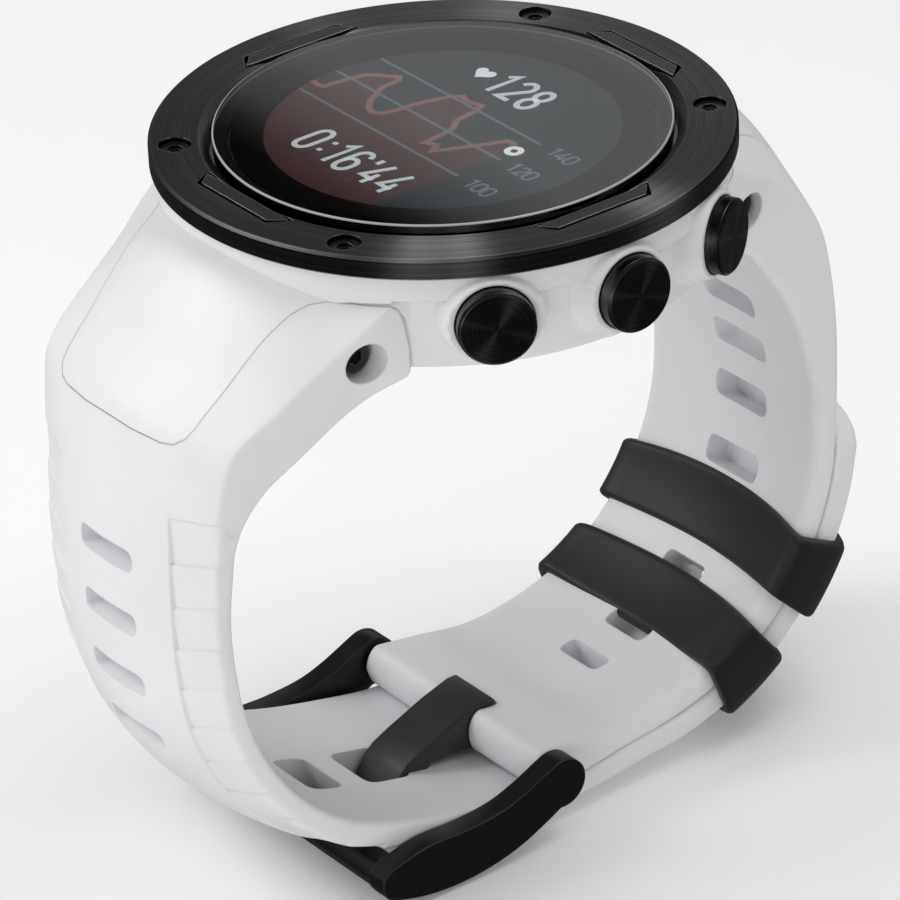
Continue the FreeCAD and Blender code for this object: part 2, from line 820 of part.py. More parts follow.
def buckle_strap_corners():
    outer = S.under_radius + S.strap_thickness
    barrel = S.barrel_radius
    return [
        (15.3, 10.0),
        (14.6, 8.8),
        (14.4, 7.0),
        (14.6, 5.2),
        (15.0, 4.0),
        (19.9, 2.0),
        (23.2, -1.2),
        (28.0, -11.0, -22.0),
        (*loop_point(S.under_radius, 0), -40.0),
        (*loop_point(S.under_radius, -90), -S.under_radius),
        (S.pin_y, S.pin_z + barrel),
        (S.pin_y - barrel, S.pin_z, barrel),
        (S.pin_y, S.pin_z - barrel, barrel),
        loop_point(outer, -90),
        (*loop_point(outer, 0), outer),
        (31.4, -8.2, 60.0),
        (26.3, 5.2, 17.0),
        (21.9, 8.3),
    ]


def side_trims(name):
    """Wedges that narrow the strap from its root to its even width."""
    trims = []
    for side in (1, -1):
        body = new_body(f"{name}_{side}")
        sketch = sketch_on(body, f"{name}_{side}_front", "XZ_Plane", 0)
        outline(sketch, [
            (S.strap_half_root * side, 8.0),
            ((S.strap_half_root - 1.3) * side, 1.0),
            (S.strap_half_width * side, -6.5),
            (S.strap_half_width * side, -60.0),
            (30.0 * side, -60.0),
            (30.0 * side, 8.0),
        ])
        pad(body, sketch, 120, both_ways=True)
        trims.append(body)
    return trims


def strap_slots(name, size_x, size_z, side, first, step):
    """Four slots through the strap along Y, the first one centred at height first."""
    return [centred_box(f"{name}_{index}", size_x, 14, size_z, 0, 30 * side,
                        first - size_z / 2 - step * index)
            for index in range(4)]


def lug_room(name):
    return slab(name, lug_corners(0.1), S.lug_half_width + 0.1)


def cheek_bores(name, side):
    bore = crossbar(f"{name}_bore", S.bar_radius + 0.04, 15, S.bar_y * side, S.bar_z)
    heads = []
    for hand in (1, -1):
        head = document.addObject("Part::Cylinder", f"{name}_head_{hand}")
        bind(head, "Radius", S.lug_screw_recess)
        bind(head, "Height", 6)
        head.Placement.Rotation = Rotation(Vector(0, 1, 0), 90 * hand)
        place(head, (S.strap_half_root - S.lug_screw_depth - 0.05) * hand, S.bar_y * side, S.bar_z)
        heads.append(head)
    return [bore, *heads]


def make_hole_strap():
    blank = slab("hole_strap_blank", hole_strap_corners(), S.strap_half_root)
    slots = strap_slots("vent", 7.0, 2.0, -1, -10.5, 5.3)
    buckle_hole = centred_box("buckle_hole", S.tongue_half_width * 2 + 0.7, 5.4, 8, 0, -8.9, -45)
    keep(cut("strap_hole_side", blank, lug_room("lug_room_six"), *side_trims("hole_trim"),
             *slots, buckle_hole, *cheek_bores("hole_cheek", -1)), "strap_hole_side")


def make_buckle_strap():
    blank = slab("buckle_strap_blank", buckle_strap_corners(), S.strap_half_root)
    room = mirrored("lug_room_twelve", lug_room("lug_room_source"), Vector(0, 1, 0))
    slots = strap_slots("window", 6.4, 2.2, 1, -9.8, 5.2)
    pin_bore = crossbar("barrel_bore", S.pin_radius + 0.05, 15, S.pin_y, S.pin_z)
    mouth = centred_box("tongue_room", S.tongue_half_width * 2 + 0.5, 6.4, 12, 0,
                        S.pin_y - 0.3, S.pin_z - 6)
    keep(cut("strap_buckle_side", blank, room, *side_trims("buckle_trim"), *slots,
             pin_bore, mouth, *cheek_bores("buckle_cheek", 1)), "strap_buckle_side")


def make_lug_hardware():
    bars, screws = [], []
    for side in (1, -1):
        tube = crossbar(f"bar_tube_{side}", S.bar_radius, S.bar_half_length, S.bar_y * side,
                        S.bar_z)
        thread = crossbar(f"bar_thread_{side}", 0.55, 16, S.bar_y * side, S.bar_z)
        bars.append(cut(f"bar_{side}", tube, thread))
        for hand in (1, -1):
            head = document.addObject("Part::Cylinder", f"lug_head_{side}_{hand}")
            bind(head, "Radius", S.lug_screw_head)
            bind(head, "Height", S.lug_screw_head_height)
            head.Placement.Rotation = Rotation(Vector(0, 1, 0), 90 * hand)
            head_start = S.strap_half_root - S.lug_screw_depth
            place(head, head_start * hand, S.bar_y * side, S.bar_z)
            shank = document.addObject("Part::Cylinder", f"lug_shank_{side}_{hand}")
            bind(shank, "Radius", 0.5)
            bind(shank, "Height", 4)
            shank.Placement.Rotation = Rotation(Vector(0, 1, 0), -90 * hand)
            place(shank, (head_start + 0.45) * hand, S.bar_y * side, S.bar_z)
            socket = document.addObject("Part::Prism", f"lug_socket_{side}_{hand}")
            socket.Polygon = 6
            bind(socket, "Circumradius", S.lug_screw_head * 0.5)
            bind(socket, "Height", 2)
            socket.Placement.Rotation = Rotation(Vector(0, 1, 0), 90 * hand)
            place(socket, (head_start + 0.5) * hand, S.bar_y * side, S.bar_z)
            screws.append(cut(f"lug_screw_{side}_{hand}",
                              together(f"lug_screw_solid_{side}_{hand}", head, shank), socket))
    keep(group("lug_bars", *bars), "lug_bars")
    keep(group("lug_screws", *screws), "lug_screws")


# ---------------------------------------------------------------- keepers and buckle

def loop_sector(name, inner, outer, half_width, degrees, sweep):
    """A curved block that follows the loop's circle over a sweep of degrees."""
    body = new_body(name)
    sketch = sketch_on(body, f"{name}_side", "YZ_Plane")
    low, high = degrees - sweep / 2, degrees + sweep / 2
    outline(sketch, [
        (*loop_point(inner, low), -inner),
        loop_point(outer, low),
        (*loop_point(outer, high), outer),
        loop_point(inner, high),
    ])
    pad(body, sketch, half_width * 2, both_ways=True)
    return body


def make_keeper(label, degrees):
    gap = S.keeper_gap
    inner = S.under_radius - gap
    outer = tail_inner() + S.tail_thickness + gap
    half = S.strap_half_width + gap
    wall = S.keeper_wall
    skin = loop_sector(f"{label}_skin", inner - wall, outer + wall, half + wall, degrees,
                       S.keeper_sweep)
    room = loop_sector(f"{label}_room", inner, outer, half, degrees, S.keeper_sweep + 4)
    keep(cut(label, skin, room), label)


def arm_corners():
    """Side outline of one buckle arm: an eye about the pin and a bow that follows the strap."""
    eye = as_size(2.65)
    return [
        (S.pin_y, S.pin_z + eye, eye),
        (-6.6, -39.2),
        (-12.5, -39.3, 22.0),
        (-18.9, -40.0),
        (-19.2, -42.2, 2.0),
        (-17.8, -43.2, 1.6),
        (-10.5, -44.3, 40.0),
        (S.pin_y, S.pin_z - eye, 30.0),
        (S.pin_y + eye, S.pin_z, eye),
    ]


def make_buckle():
    arm_low = S.strap_half_width + 0.25
    parts = []
    for hand in (1, -1):
        body = new_body(f"buckle_arm_{hand}")
        sketch = sketch_on(body, f"buckle_arm_{hand}_side", "YZ_Plane", arm_low * hand)
        outline(sketch, arm_corners())
        feature = pad(body, sketch, S.arm_thickness)
        feature.Reversed = hand < 0
        parts.append(body)
    bar = slab("buckle_far_bar", [
        (-13.9, -42.75),
        (-19.2, -40.5),
        (-19.2, -42.2),
        (-17.8, -43.2, 1.6),
        (-14.2, -43.8),
    ], arm_low + 0.5)
    parts.append(bar)
    bores = crossbar("buckle_pin_bore", S.pin_radius + 0.05, 20, S.pin_y, S.pin_z)
    notch = centred_box("tongue_notch", S.tongue_half_width * 2 + 0.6, 5.4, 4, 0, -14.7, -46.4)
    keep(cut("buckle_frame", together("buckle_solid", *parts), bores, notch), "buckle_frame")
    keep(crossbar("buckle_pin", S.pin_radius, S.strap_half_width + 1.9, S.pin_y, S.pin_z),
         "buckle_pin")


def make_tongue():
    """A dog-leg tongue: it hooks on the pin, drops through the strap's hole and rests outside."""
    eye = as_size(1.9)
    body = slab("tongue_blank", [
        (S.pin_y, S.pin_z + eye, eye),
        (-7.0, -38.9),
        (-9.0, -41.0),
        (-11.2, -42.95),
        (-16.6, -42.6),
        (-16.9, -43.3),
        (-16.2, -43.9),
        (-10.2, -44.3),
        (-8.2, -43.2),
        (-6.4, -40.6),
        (S.pin_y, S.pin_z - eye),
        (S.pin_y + eye, S.pin_z, eye),
    ], S.tongue_half_width)
    bore = crossbar("tongue_bore", S.pin_radius + 0.05, 6, S.pin_y, S.pin_z)
    keep(cut("buckle_tongue", body, bore), "buckle_tongue")


# ---------------------------------------------------------------- build and write

def check_and_write():
    document.recompute()
    faults = [f"{item.Name}: {item.State}" for item in document.Objects
              if "Invalid" in item.State or "Error" in item.State]
    for node in nodes:
        if node.Shape.isNull() or not node.Shape.isValid():
            faults.append(f"{node.Label}: bad shape")
    if faults:
        raise RuntimeError("; ".join(faults))
    os.makedirs("parts", exist_ok=True)
    for node in nodes:
        node.Shape.exportStep(f"parts/{node.Label}.step")
        print(node.Label, len(node.Shape.Solids), round(node.Shape.Volume, 2))


make_bezel()
make_bezel_inserts()
make_bezel_screws()
make_lens()
make_display_stack()
make_antenna_ring()
make_mid_case()
make_case_back()
make_charging_contacts()
make_back_seal_and_screws()
make_sensor()
make_inside()
make_vibration_motor()
for pusher_name, pusher_azimuth in PUSHERS.items():
    make_pusher(pusher_name, pusher_azimuth)
make_pusher_hardware()
make_hole_strap()
make_buckle_strap()
make_lug_hardware()
make_keeper("keeper_upper", S.upper_keeper_angle)
make_keeper("keeper_lower", S.lower_keeper_angle)
make_buckle()
make_tongue()
check_and_write()
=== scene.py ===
"""Looks of the GPS running watch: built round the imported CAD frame.

The CAD keeps its metal parts, glass, pushers and inside.  The case, the straps, the keepers and
the buckle get finer meshes here.  All shape numbers are in millimetres in the row frame: +Z out
of the display, +X to 3 o'clock, +Y to 12 o'clock.
"""

import math

import bmesh
import bpy
import numpy as np
from mathutils import Matrix, Vector


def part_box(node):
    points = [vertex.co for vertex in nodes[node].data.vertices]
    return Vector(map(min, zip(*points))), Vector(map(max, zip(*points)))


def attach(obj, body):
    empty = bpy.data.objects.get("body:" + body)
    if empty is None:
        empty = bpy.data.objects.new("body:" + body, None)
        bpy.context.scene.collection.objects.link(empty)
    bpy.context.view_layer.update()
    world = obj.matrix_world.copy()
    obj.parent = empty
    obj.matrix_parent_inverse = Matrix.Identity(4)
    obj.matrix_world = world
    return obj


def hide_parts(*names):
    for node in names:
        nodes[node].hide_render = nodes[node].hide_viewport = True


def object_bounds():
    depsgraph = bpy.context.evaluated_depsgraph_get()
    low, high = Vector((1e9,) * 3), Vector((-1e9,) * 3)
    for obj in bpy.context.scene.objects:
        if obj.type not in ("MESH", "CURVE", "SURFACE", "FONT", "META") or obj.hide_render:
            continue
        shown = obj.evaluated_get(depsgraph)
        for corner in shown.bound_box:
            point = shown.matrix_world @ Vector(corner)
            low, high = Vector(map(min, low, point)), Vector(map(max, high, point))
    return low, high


MM = 0.001
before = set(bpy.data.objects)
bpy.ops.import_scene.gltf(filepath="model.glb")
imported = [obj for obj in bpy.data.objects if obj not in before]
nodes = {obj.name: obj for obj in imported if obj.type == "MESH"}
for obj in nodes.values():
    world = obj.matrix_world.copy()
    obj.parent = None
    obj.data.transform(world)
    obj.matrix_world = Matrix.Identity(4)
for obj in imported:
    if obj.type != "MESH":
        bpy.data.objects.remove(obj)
cad_low, cad_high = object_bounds()
scene = bpy.context.scene


# ---------------------------------------------------------------- frame sizes, in mm

def box_mm(node):
    low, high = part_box(node)
    return low / MM, high / MM


bezel_low, bezel_high = box_mm("bezel")
RIM = bezel_high.z
BEZEL_FOOT = bezel_low.z
lens_low, lens_high = box_mm("lens")
panel_high = box_mm("display_panel")[1]
FLOOR_HEIGHT = cad_low.z / MM

LOOP = (9.3, -18.7)
PIN_Y, PIN_Z = PIN = (-0.9, -38.9)
BARREL_RADIUS = 1.9
STRAP_HALF = 11.5
PUSHER_AZIMUTHS = {
    "upper_right": 28.0,
    "middle_right": 0.0,
    "lower_right": -28.0,
    "upper_left": 152.0,
    "lower_left": 208.0,
}
PUSHER_HEIGHT = 9.1
PIN_REACH = box_mm("buckle_pin")[1].x + 0.02


# ---------------------------------------------------------------- mesh helpers

def polar(radius, degrees, centre=(0.0, 0.0)):
    """The point at an angle on a circle."""
    turn = math.radians(degrees)
    return centre[0] + radius * math.cos(turn), centre[1] + radius * math.sin(turn)


def circle(radius, steps, centre=(0.0, 0.0)):
    return [polar(radius, 360 * step / steps, centre) for step in range(steps)]


def mesh_object(name, points_mm, faces, sharp_angle=38.0):
    """A mesh object from points in millimetres, smooth except at edges over sharp_angle."""
    mesh = bpy.data.meshes.new(name)
    mesh.from_pydata([tuple(p * MM for p in point) for point in points_mm], [], faces)
    mesh.validate()
    mesh.update()
    thing = bpy.data.objects.new(name, mesh)
    scene.collection.objects.link(thing)
    shade(thing, sharp_angle)
    return thing


def shade(thing, sharp_angle):
    thing.data.polygons.foreach_set("use_smooth", [True] * len(thing.data.polygons))
    thing.data.set_sharp_from_angle(angle=math.radians(sharp_angle))


def loft(name, rings, sharp_angle=38.0, closed=False):
    """A skin over equal rings of points.  Open lofts get a cap at each end."""
    count = len(rings[0])
    points = [point for ring in rings for point in ring]
    faces = []
    last = len(rings) if closed else len(rings) - 1
    for row in range(last):
        here = row * count
        there = ((row + 1) % len(rings)) * count
        for column in range(count):
            beside = (column + 1) % count
            faces.append((here + column, here + beside, there + beside, there + column))
    if not closed:
        faces.append(tuple(range(count - 1, -1, -1)))
        faces.append(tuple((len(rings) - 1) * count + column for column in range(count)))
    return mesh_object(name, points, faces, sharp_angle)


def turned(name, profile, steps, sharp_angle):
    """A solid turned about +Z from a profile of (radius, height)."""
    rings = [[(*point, height) for point in circle(radius, steps)] for radius, height in profile]
    return loft(name, rings, sharp_angle)


def grid(name, steps, place):
    """A flat net: place(across, along) maps -1 to 1 each way to the row frame."""
    ticks = [2 * step / steps - 1 for step in range(steps + 1)]
    points = [place(across, along) for along in ticks for across in ticks]
    corners = [start for start in range(steps * (steps + 1)) if (start + 1) % (steps + 1)]
    faces = [(start, start + 1, start + steps + 2, start + steps + 1) for start in corners]
    return mesh_object(name, points, faces)


def prism(name, outline, depth, place):
    """A closed prism: place(u, v, w) maps plan coordinates and depth to the row frame."""
    low, high = depth
    rings = [[place(u, v, w) for u, v in outline] for w in (low, high)]
    return loft(name, rings, 30.0)


def make_solid_normals(thing):
    """Face the mesh outwards, so that booleans read it as a solid."""
    work = bmesh.new()
    work.from_mesh(thing.data)
    bmesh.ops.recalc_face_normals(work, faces=work.faces)
    work.to_mesh(thing.data)
    work.free()


def apply_modifiers(thing):
    graph = bpy.context.evaluated_depsgraph_get()
    mesh = bpy.data.meshes.new_from_object(thing.evaluated_get(graph))
    old = thing.data
    thing.modifiers.clear()
    thing.data = mesh
    mesh.name = thing.name
    bpy.data.meshes.remove(old)


def combine(thing, others, operation, sharp_angle=38.0):
    """Boolean with each other object in turn; the others are used up."""
    make_solid_normals(thing)
    for other in others:
        make_solid_normals(other)
        step = thing.modifiers.new("combine", "BOOLEAN")
        step.operation = operation
        step.solver = "EXACT"
        step.object = other
        apply_modifiers(thing)
        bpy.data.objects.remove(other)
    shade(thing, sharp_angle)
    return thing


def bevelled(thing, width_mm, segments=3, angle=35.0):
    step = thing.modifiers.new("round_edges", "BEVEL")
    step.width = width_mm * MM
    step.segments = segments
    step.limit_method = "ANGLE"
    step.angle_limit = math.radians(angle)
    step.use_clamp_overlap = True
    step.harden_normals = False
    apply_modifiers(thing)
    shade(thing, 60.0)
    return thing


def through(rows, spacing):
    """Rows read along a smooth curve through the given rows, evenly spaced by arc length."""
    rows = np.array(rows, float)
    chords = np.hypot(np.diff(rows[:, 0]), np.diff(rows[:, 1]))
    place = np.concatenate([[0.0], np.cumsum(chords)])
    slope = np.gradient(rows, place, axis=0)
    wanted = np.linspace(0, place[-1], int(place[-1] / spacing) + 2)
    span = np.clip(np.searchsorted(place, wanted, side="right") - 1, 0, len(place) - 2)
    length = (place[span + 1] - place[span])[:, None]
    t = ((wanted - place[span]) / length[:, 0])[:, None]
    return (
        (2 * t**3 - 3 * t**2 + 1) * rows[span]
        + (t**3 - 2 * t**2 + t) * length * slope[span]
        + (-2 * t**3 + 3 * t**2) * rows[span + 1]
        + (t**3 - t**2) * length * slope[span + 1]
    )


def rounded_outline(corners, steps=8):
    """A closed outline.  A corner is (u, v) or (u, v, radius) to round it off."""
    points = []
    total = len(corners)
    for index, corner in enumerate(corners):
        here = Vector(corner[:2])
        if len(corner) == 2:
            points.append(tuple(here))
            continue
        before = Vector(corners[index - 1][:2])
        after = Vector(corners[(index + 1) % total][:2])
        back = (before - here).normalized()
        ahead = (after - here).normalized()
        half = math.acos(max(-1.0, min(1.0, back.dot(ahead)))) / 2
        radius = corner[2]
        reach = radius / math.tan(half)
        reach = min(reach, (before - here).length * 0.49, (after - here).length * 0.49)
        start = here + back * reach
        end = here + ahead * reach
        for step in range(steps + 1):
            t = step / steps
            points.append(tuple(start * (1 - t) ** 2 + here * (2 * t * (1 - t)) + end * t * t))
    return points


def grown(outline, amount):
    """The outline moved outwards by amount, for outlines drawn anticlockwise."""
    result = []
    total = len(outline)
    for index in range(total):
        before = Vector(outline[index - 1])
        here = Vector(outline[index])
        after = Vector(outline[(index + 1) % total])
        first = (here - before).normalized()
        second = (after - here).normalized()
        normal = Vector((first.y + second.y, -(first.x + second.x)))
        if normal.length < 1e-6:
            normal = Vector((first.y, -first.x))
        result.append(tuple(here + normal.normalized() * amount))
    return result


# ---------------------------------------------------------------- materials

class Paint:
    """Small helper that wires up one node material."""

    def __init__(self, name):
        self.material = bpy.data.materials.new(name)
        self.material.use_nodes = True
        self.tree = self.material.node_tree
        self.shader = self.tree.nodes["Principled BSDF"]
        self.output = self.tree.nodes["Material Output"]
        self.where = self.add("ShaderNodeTexCoord").outputs["Object"]

    def add(self, kind, **settings):
        node = self.tree.nodes.new(kind)
        for key, value in settings.items():
            setattr(node, key, value)
        return node

    def link(self, source, target):
        self.tree.links.new(source, target)

    def fill(self, socket, value):
        if isinstance(value, bpy.types.NodeSocket):
            self.link(value, socket)
        else:
            socket.default_value = value

    def math(self, operation, first, second=0.0, third=0.5):
        node = self.add("ShaderNodeMath", operation=operation)
        self.fill(node.inputs[0], first)
        self.fill(node.inputs[1], second)
        self.fill(node.inputs[2], third)
        return node.outputs[0]

    def vector(self, operation, first, second=(0, 0, 0)):
        node = self.add("ShaderNodeVectorMath", operation=operation)
        self.fill(node.inputs[0], first)
        self.fill(node.inputs[1], second)
        return node.outputs["Value" if operation in ("LENGTH", "DOT_PRODUCT") else "Vector"]

    def noise(self, scale, detail=3.0, roughness=0.55, where=None):
        node = self.add("ShaderNodeTexNoise")
        self.link(where or self.where, node.inputs["Vector"])
        node.inputs["Scale"].default_value = scale
        node.inputs["Detail"].default_value = detail
        node.inputs["Roughness"].default_value = roughness
        return node.outputs["Fac"]

    def ramp(self, value, *stops):
        node = self.add("ShaderNodeValToRGB")
        while len(node.color_ramp.elements) < len(stops):
            node.color_ramp.elements.new(0.5)
        for element, (position, colour) in zip(node.color_ramp.elements, stops):
            element.position = position
            if isinstance(colour, (int, float)):
                colour = (colour, colour, colour)
            element.color = (*colour, 1.0)
        self.link(value, node.inputs["Fac"])
        return node.outputs["Color"]

    def spread(self, value, low, high):
        """A 0 to 1 value spread between low and high."""
        node = self.add("ShaderNodeMapRange")
        self.link(value, node.inputs["Value"])
        node.inputs["To Min"].default_value = low
        node.inputs["To Max"].default_value = high
        return node.outputs["Result"]

    def round_edges(self, radius_mm):
        node = self.add("ShaderNodeBevel", samples=4)
        node.inputs["Radius"].default_value = radius_mm * MM
        return node.outputs["Normal"]

    def bump(self, height, strength, distance_mm, normal=None):
        node = self.add("ShaderNodeBump")
        node.inputs["Strength"].default_value = strength
        node.inputs["Distance"].default_value = distance_mm * MM
        self.link(height, node.inputs["Height"])
        if normal is not None:
            self.link(normal, node.inputs["Normal"])
        return node.outputs["Normal"]

    def painted_edge_highlight(self, rounded, square, flat, gain):
        """gain where the surface turns over an edge, 0 on flat stretches; the mask of the painted
        edge highlight.
        """
        geometry = self.add("ShaderNodeNewGeometry")
        turned_by = self.vector("DOT_PRODUCT", rounded, geometry.outputs["Normal"])
        return self.ramp(turned_by, (square, gain), (flat, 0.0))

    def set(self, **values):
        for key, value in values.items():
            self.fill(self.shader.inputs[key.replace("_", " ")], value)


def moulded(name, colour, roughness, grain_mm=0.12, grain=0.25, edge_mm=0.12, soft=0.0,
            mottle=0.02, sheen=0.0):
    """A moulded polymer: fine satin grain, faint flow marks and slightly rubbed edges."""
    paint = Paint(name)
    fine = paint.noise(1.0 / (grain_mm * MM), 2.0)
    broad = paint.noise(140.0, 3.0)
    dark = tuple(c * (1 - mottle) for c in colour)
    light = tuple(min(1.0, c * (1 + mottle)) for c in colour)
    paint.set(
        Base_Color=paint.ramp(broad, (0.3, dark), (0.7, light)),
        Roughness=paint.spread(broad, roughness - 0.04, roughness + 0.05),
        Normal=paint.bump(fine, grain, 0.02, paint.round_edges(edge_mm)),
    )
    if soft:
        paint.set(Subsurface_Weight=soft, Subsurface_Radius=(1.0, 0.95, 0.9),
                  Subsurface_Scale=1.2 * MM)
    if sheen:
        paint.set(Sheen_Weight=sheen, Sheen_Roughness=0.5)
    return paint.material


def turned_metal(name, colour, centre_mm, axis, painted_glints, roughness=0.3, lines=2600.0,
                 edge_mm=0.08, line_bump=0.12):
    """Metal brushed in circles about an axis, with fine concentric lines.

    painted_glints holds (angle about the axis, half width, gain) of each sector where a painted
    highlight brightens the colour, for the light the brushing catches; angles in degrees.
    """
    paint = Paint(name)
    centre = tuple(c * MM for c in centre_mm)
    arm = paint.vector("SUBTRACT", paint.where, centre)
    along = paint.vector("DOT_PRODUCT", arm, tuple(axis))
    scaled = paint.add("ShaderNodeVectorMath", operation="SCALE")
    scaled.inputs[0].default_value = tuple(axis)
    paint.link(along, scaled.inputs["Scale"])
    flat = paint.vector("SUBTRACT", arm, scaled.outputs["Vector"])
    radius = paint.vector("LENGTH", flat)
    tangent = paint.vector("NORMALIZE", paint.vector("CROSS_PRODUCT", tuple(axis), flat))
    # concentric lines: noise read along the radius and height only
    joined = paint.add("ShaderNodeCombineXYZ")
    paint.link(radius, joined.inputs["X"])
    paint.link(along, joined.inputs["Y"])
    rings = paint.noise(lines, 4.0, 0.7, joined.outputs["Vector"])
    dark = tuple(c * 0.7 for c in colour)
    light = tuple(min(1.0, c * 1.4) for c in colour)
    first = Vector((1, 0, 0)) if abs(axis[2]) > 0.5 else Vector((-axis[1], axis[0], 0))
    second = Vector(axis).cross(first)
    turn = paint.math("ARCTAN2", paint.vector("DOT_PRODUCT", flat, tuple(second)),
                      paint.vector("DOT_PRODUCT", flat, tuple(first)))
    gain = paint.math("ADD", rings, 0.5)
    # painted highlight: each sector raises the colour's gain at a fixed angle about the axis
    for angle, half_width, strength in painted_glints:
        off = paint.math("WRAP", paint.math("SUBTRACT", turn, math.radians(angle)),
                         math.pi, -math.pi)
        share = paint.math("DIVIDE", off, math.radians(half_width))
        bell = paint.math("EXPONENT", paint.math("MULTIPLY", paint.math("MULTIPLY", share, share),
                                                 -1.0))
        gain = paint.math("MULTIPLY_ADD", bell, strength, gain)
    rounded = paint.round_edges(edge_mm)
    # painted highlight: the colour is brightened where the surface turns over an edge
    gain = paint.math("ADD", gain, paint.painted_edge_highlight(rounded, 0.82, 0.98, 3.0))
    shine = paint.add("ShaderNodeVectorMath", operation="SCALE")
    paint.link(paint.ramp(rings, (0.35, dark), (0.65, light)), shine.inputs[0])
    paint.link(gain, shine.inputs["Scale"])
    paint.set(
        Base_Color=shine.outputs["Vector"],
        Metallic=1.0,
        Roughness=paint.spread(rings, roughness - 0.05, roughness + 0.08),
        Anisotropic=0.75,
        Tangent=tangent,
        Normal=paint.bump(rings, line_bump, 0.01, rounded),
    )
    return paint.material


def coated_metal(name, colour, roughness, edge_highlight_colour=None, edge_mm=0.15, metallic=0.9):
    """Black coated metal: satin, with a painted highlight that lightens the colour along the edges.
    """
    paint = Paint(name)
    fine = paint.noise(9000.0, 2.0)
    broad = paint.noise(300.0, 3.0)
    rounded = paint.round_edges(edge_mm)
    # painted highlight: the colour mixes towards the edge colour where the surface turns over an edge
    blend = paint.add("ShaderNodeMixRGB")
    blend.inputs["Color1"].default_value = (*colour, 1)
    blend.inputs["Color2"].default_value = (*(edge_highlight_colour or colour), 1)
    paint.link(paint.painted_edge_highlight(rounded, 0.80, 0.97, 1.0), blend.inputs["Fac"])
    paint.set(
        Base_Color=blend.outputs["Color"],
        Metallic=metallic,
        Roughness=paint.spread(broad, roughness - 0.04, roughness + 0.06),
        Normal=paint.bump(fine, 0.15, 0.01, rounded),
    )
    return paint.material


def cover_glass_material():
    """Flat cover glass: clear and mirror-like, with its chamfer painted pale grey as a highlight."""
    paint = Paint("cover_glass_look")
    smudges = paint.noise(90.0, 3.0)
    paint.set(
        Base_Color=(0.93, 0.94, 0.95, 1),
        Roughness=paint.spread(smudges, 0.0, 0.012),
        IOR=1.6,
        Transmission_Weight=1.0,
    )
    # painted highlight: an opaque pale grey surface on the chamfer stands in for its glint
    painted_chamfer_glint = paint.add("ShaderNodeBsdfPrincipled")
    painted_chamfer_glint.inputs["Base Color"].default_value = (0.42, 0.43, 0.44, 1)
    painted_chamfer_glint.inputs["Roughness"].default_value = 0.25
    facing = paint.add("ShaderNodeNewGeometry")
    parts = paint.add("ShaderNodeSeparateXYZ")
    paint.link(facing.outputs["True Normal"], parts.inputs["Vector"])
    leaning = paint.math("LESS_THAN", parts.outputs["Z"], 0.97)
    upward = paint.math("GREATER_THAN", parts.outputs["Z"], 0.3)
    mix = paint.add("ShaderNodeMixShader")
    paint.link(paint.math("MULTIPLY", leaning, upward), mix.inputs["Fac"])
    paint.link(paint.shader.outputs["BSDF"], mix.inputs[1])
    paint.link(painted_chamfer_glint.outputs["BSDF"], mix.inputs[2])
    paint.link(mix.outputs["Shader"], paint.output.inputs["Surface"])
    return paint.material


def lit_print(name, colour, strength=0.6, grain=0.15):
    """Ink on the display: lit softly from behind, broken up by the display's pixel grid."""
    paint = Paint(name)
    pixels = paint.noise(5200.0, 1.0)
    level = paint.spread(pixels, strength * (1 - grain), strength * (1 + grain))
    paint.set(
        Base_Color=(*tuple(c * 0.5 for c in colour), 1),
        Roughness=0.6,
        Emission_Color=(*colour, 1),
        Emission_Strength=level,
    )
    return paint.material


def settle_normals(thing):
    """Drop a CAD mesh's stored normals and shade it smooth up to a shallow edge."""
    stored = thing.data.attributes.get("custom_normal")
    if stored:
        thing.data.attributes.remove(stored)
    shade(thing, 30.0)


def give(thing, material):
    thing.data.materials.clear()
    thing.data.materials.append(material)
    for polygon in thing.data.polygons:
        polygon.material_index = 0


def finished(thing, body, slot, material, *replaced):
    """Give a new piece its material and body, and hide the CAD nodes it stands for. The slot argument
    is not used.
    """
    give(thing, material)
    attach(thing, body)
    if replaced:
        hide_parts(*replaced)
    return thing


# ---------------------------------------------------------------- strap sections

def across_lines(half_width, edge_radius):
    """Places across the strap's outer face, with a close pair where the ribbed band starts."""
    band = min(BAND_EDGE, half_width * 0.64)
    outside = list(np.linspace(band + 0.05, half_width - edge_radius, 8))
    inside = list(np.linspace(0.0, band - 0.05, 12))
    right = inside + outside
    return [-x for x in reversed(right[1:])] + right


BAND_EDGE = 7.4     # half the width of the smooth band between the ribs
INNER_CROWN = 0.6   # the inner face's crown, as a share of the outer one's


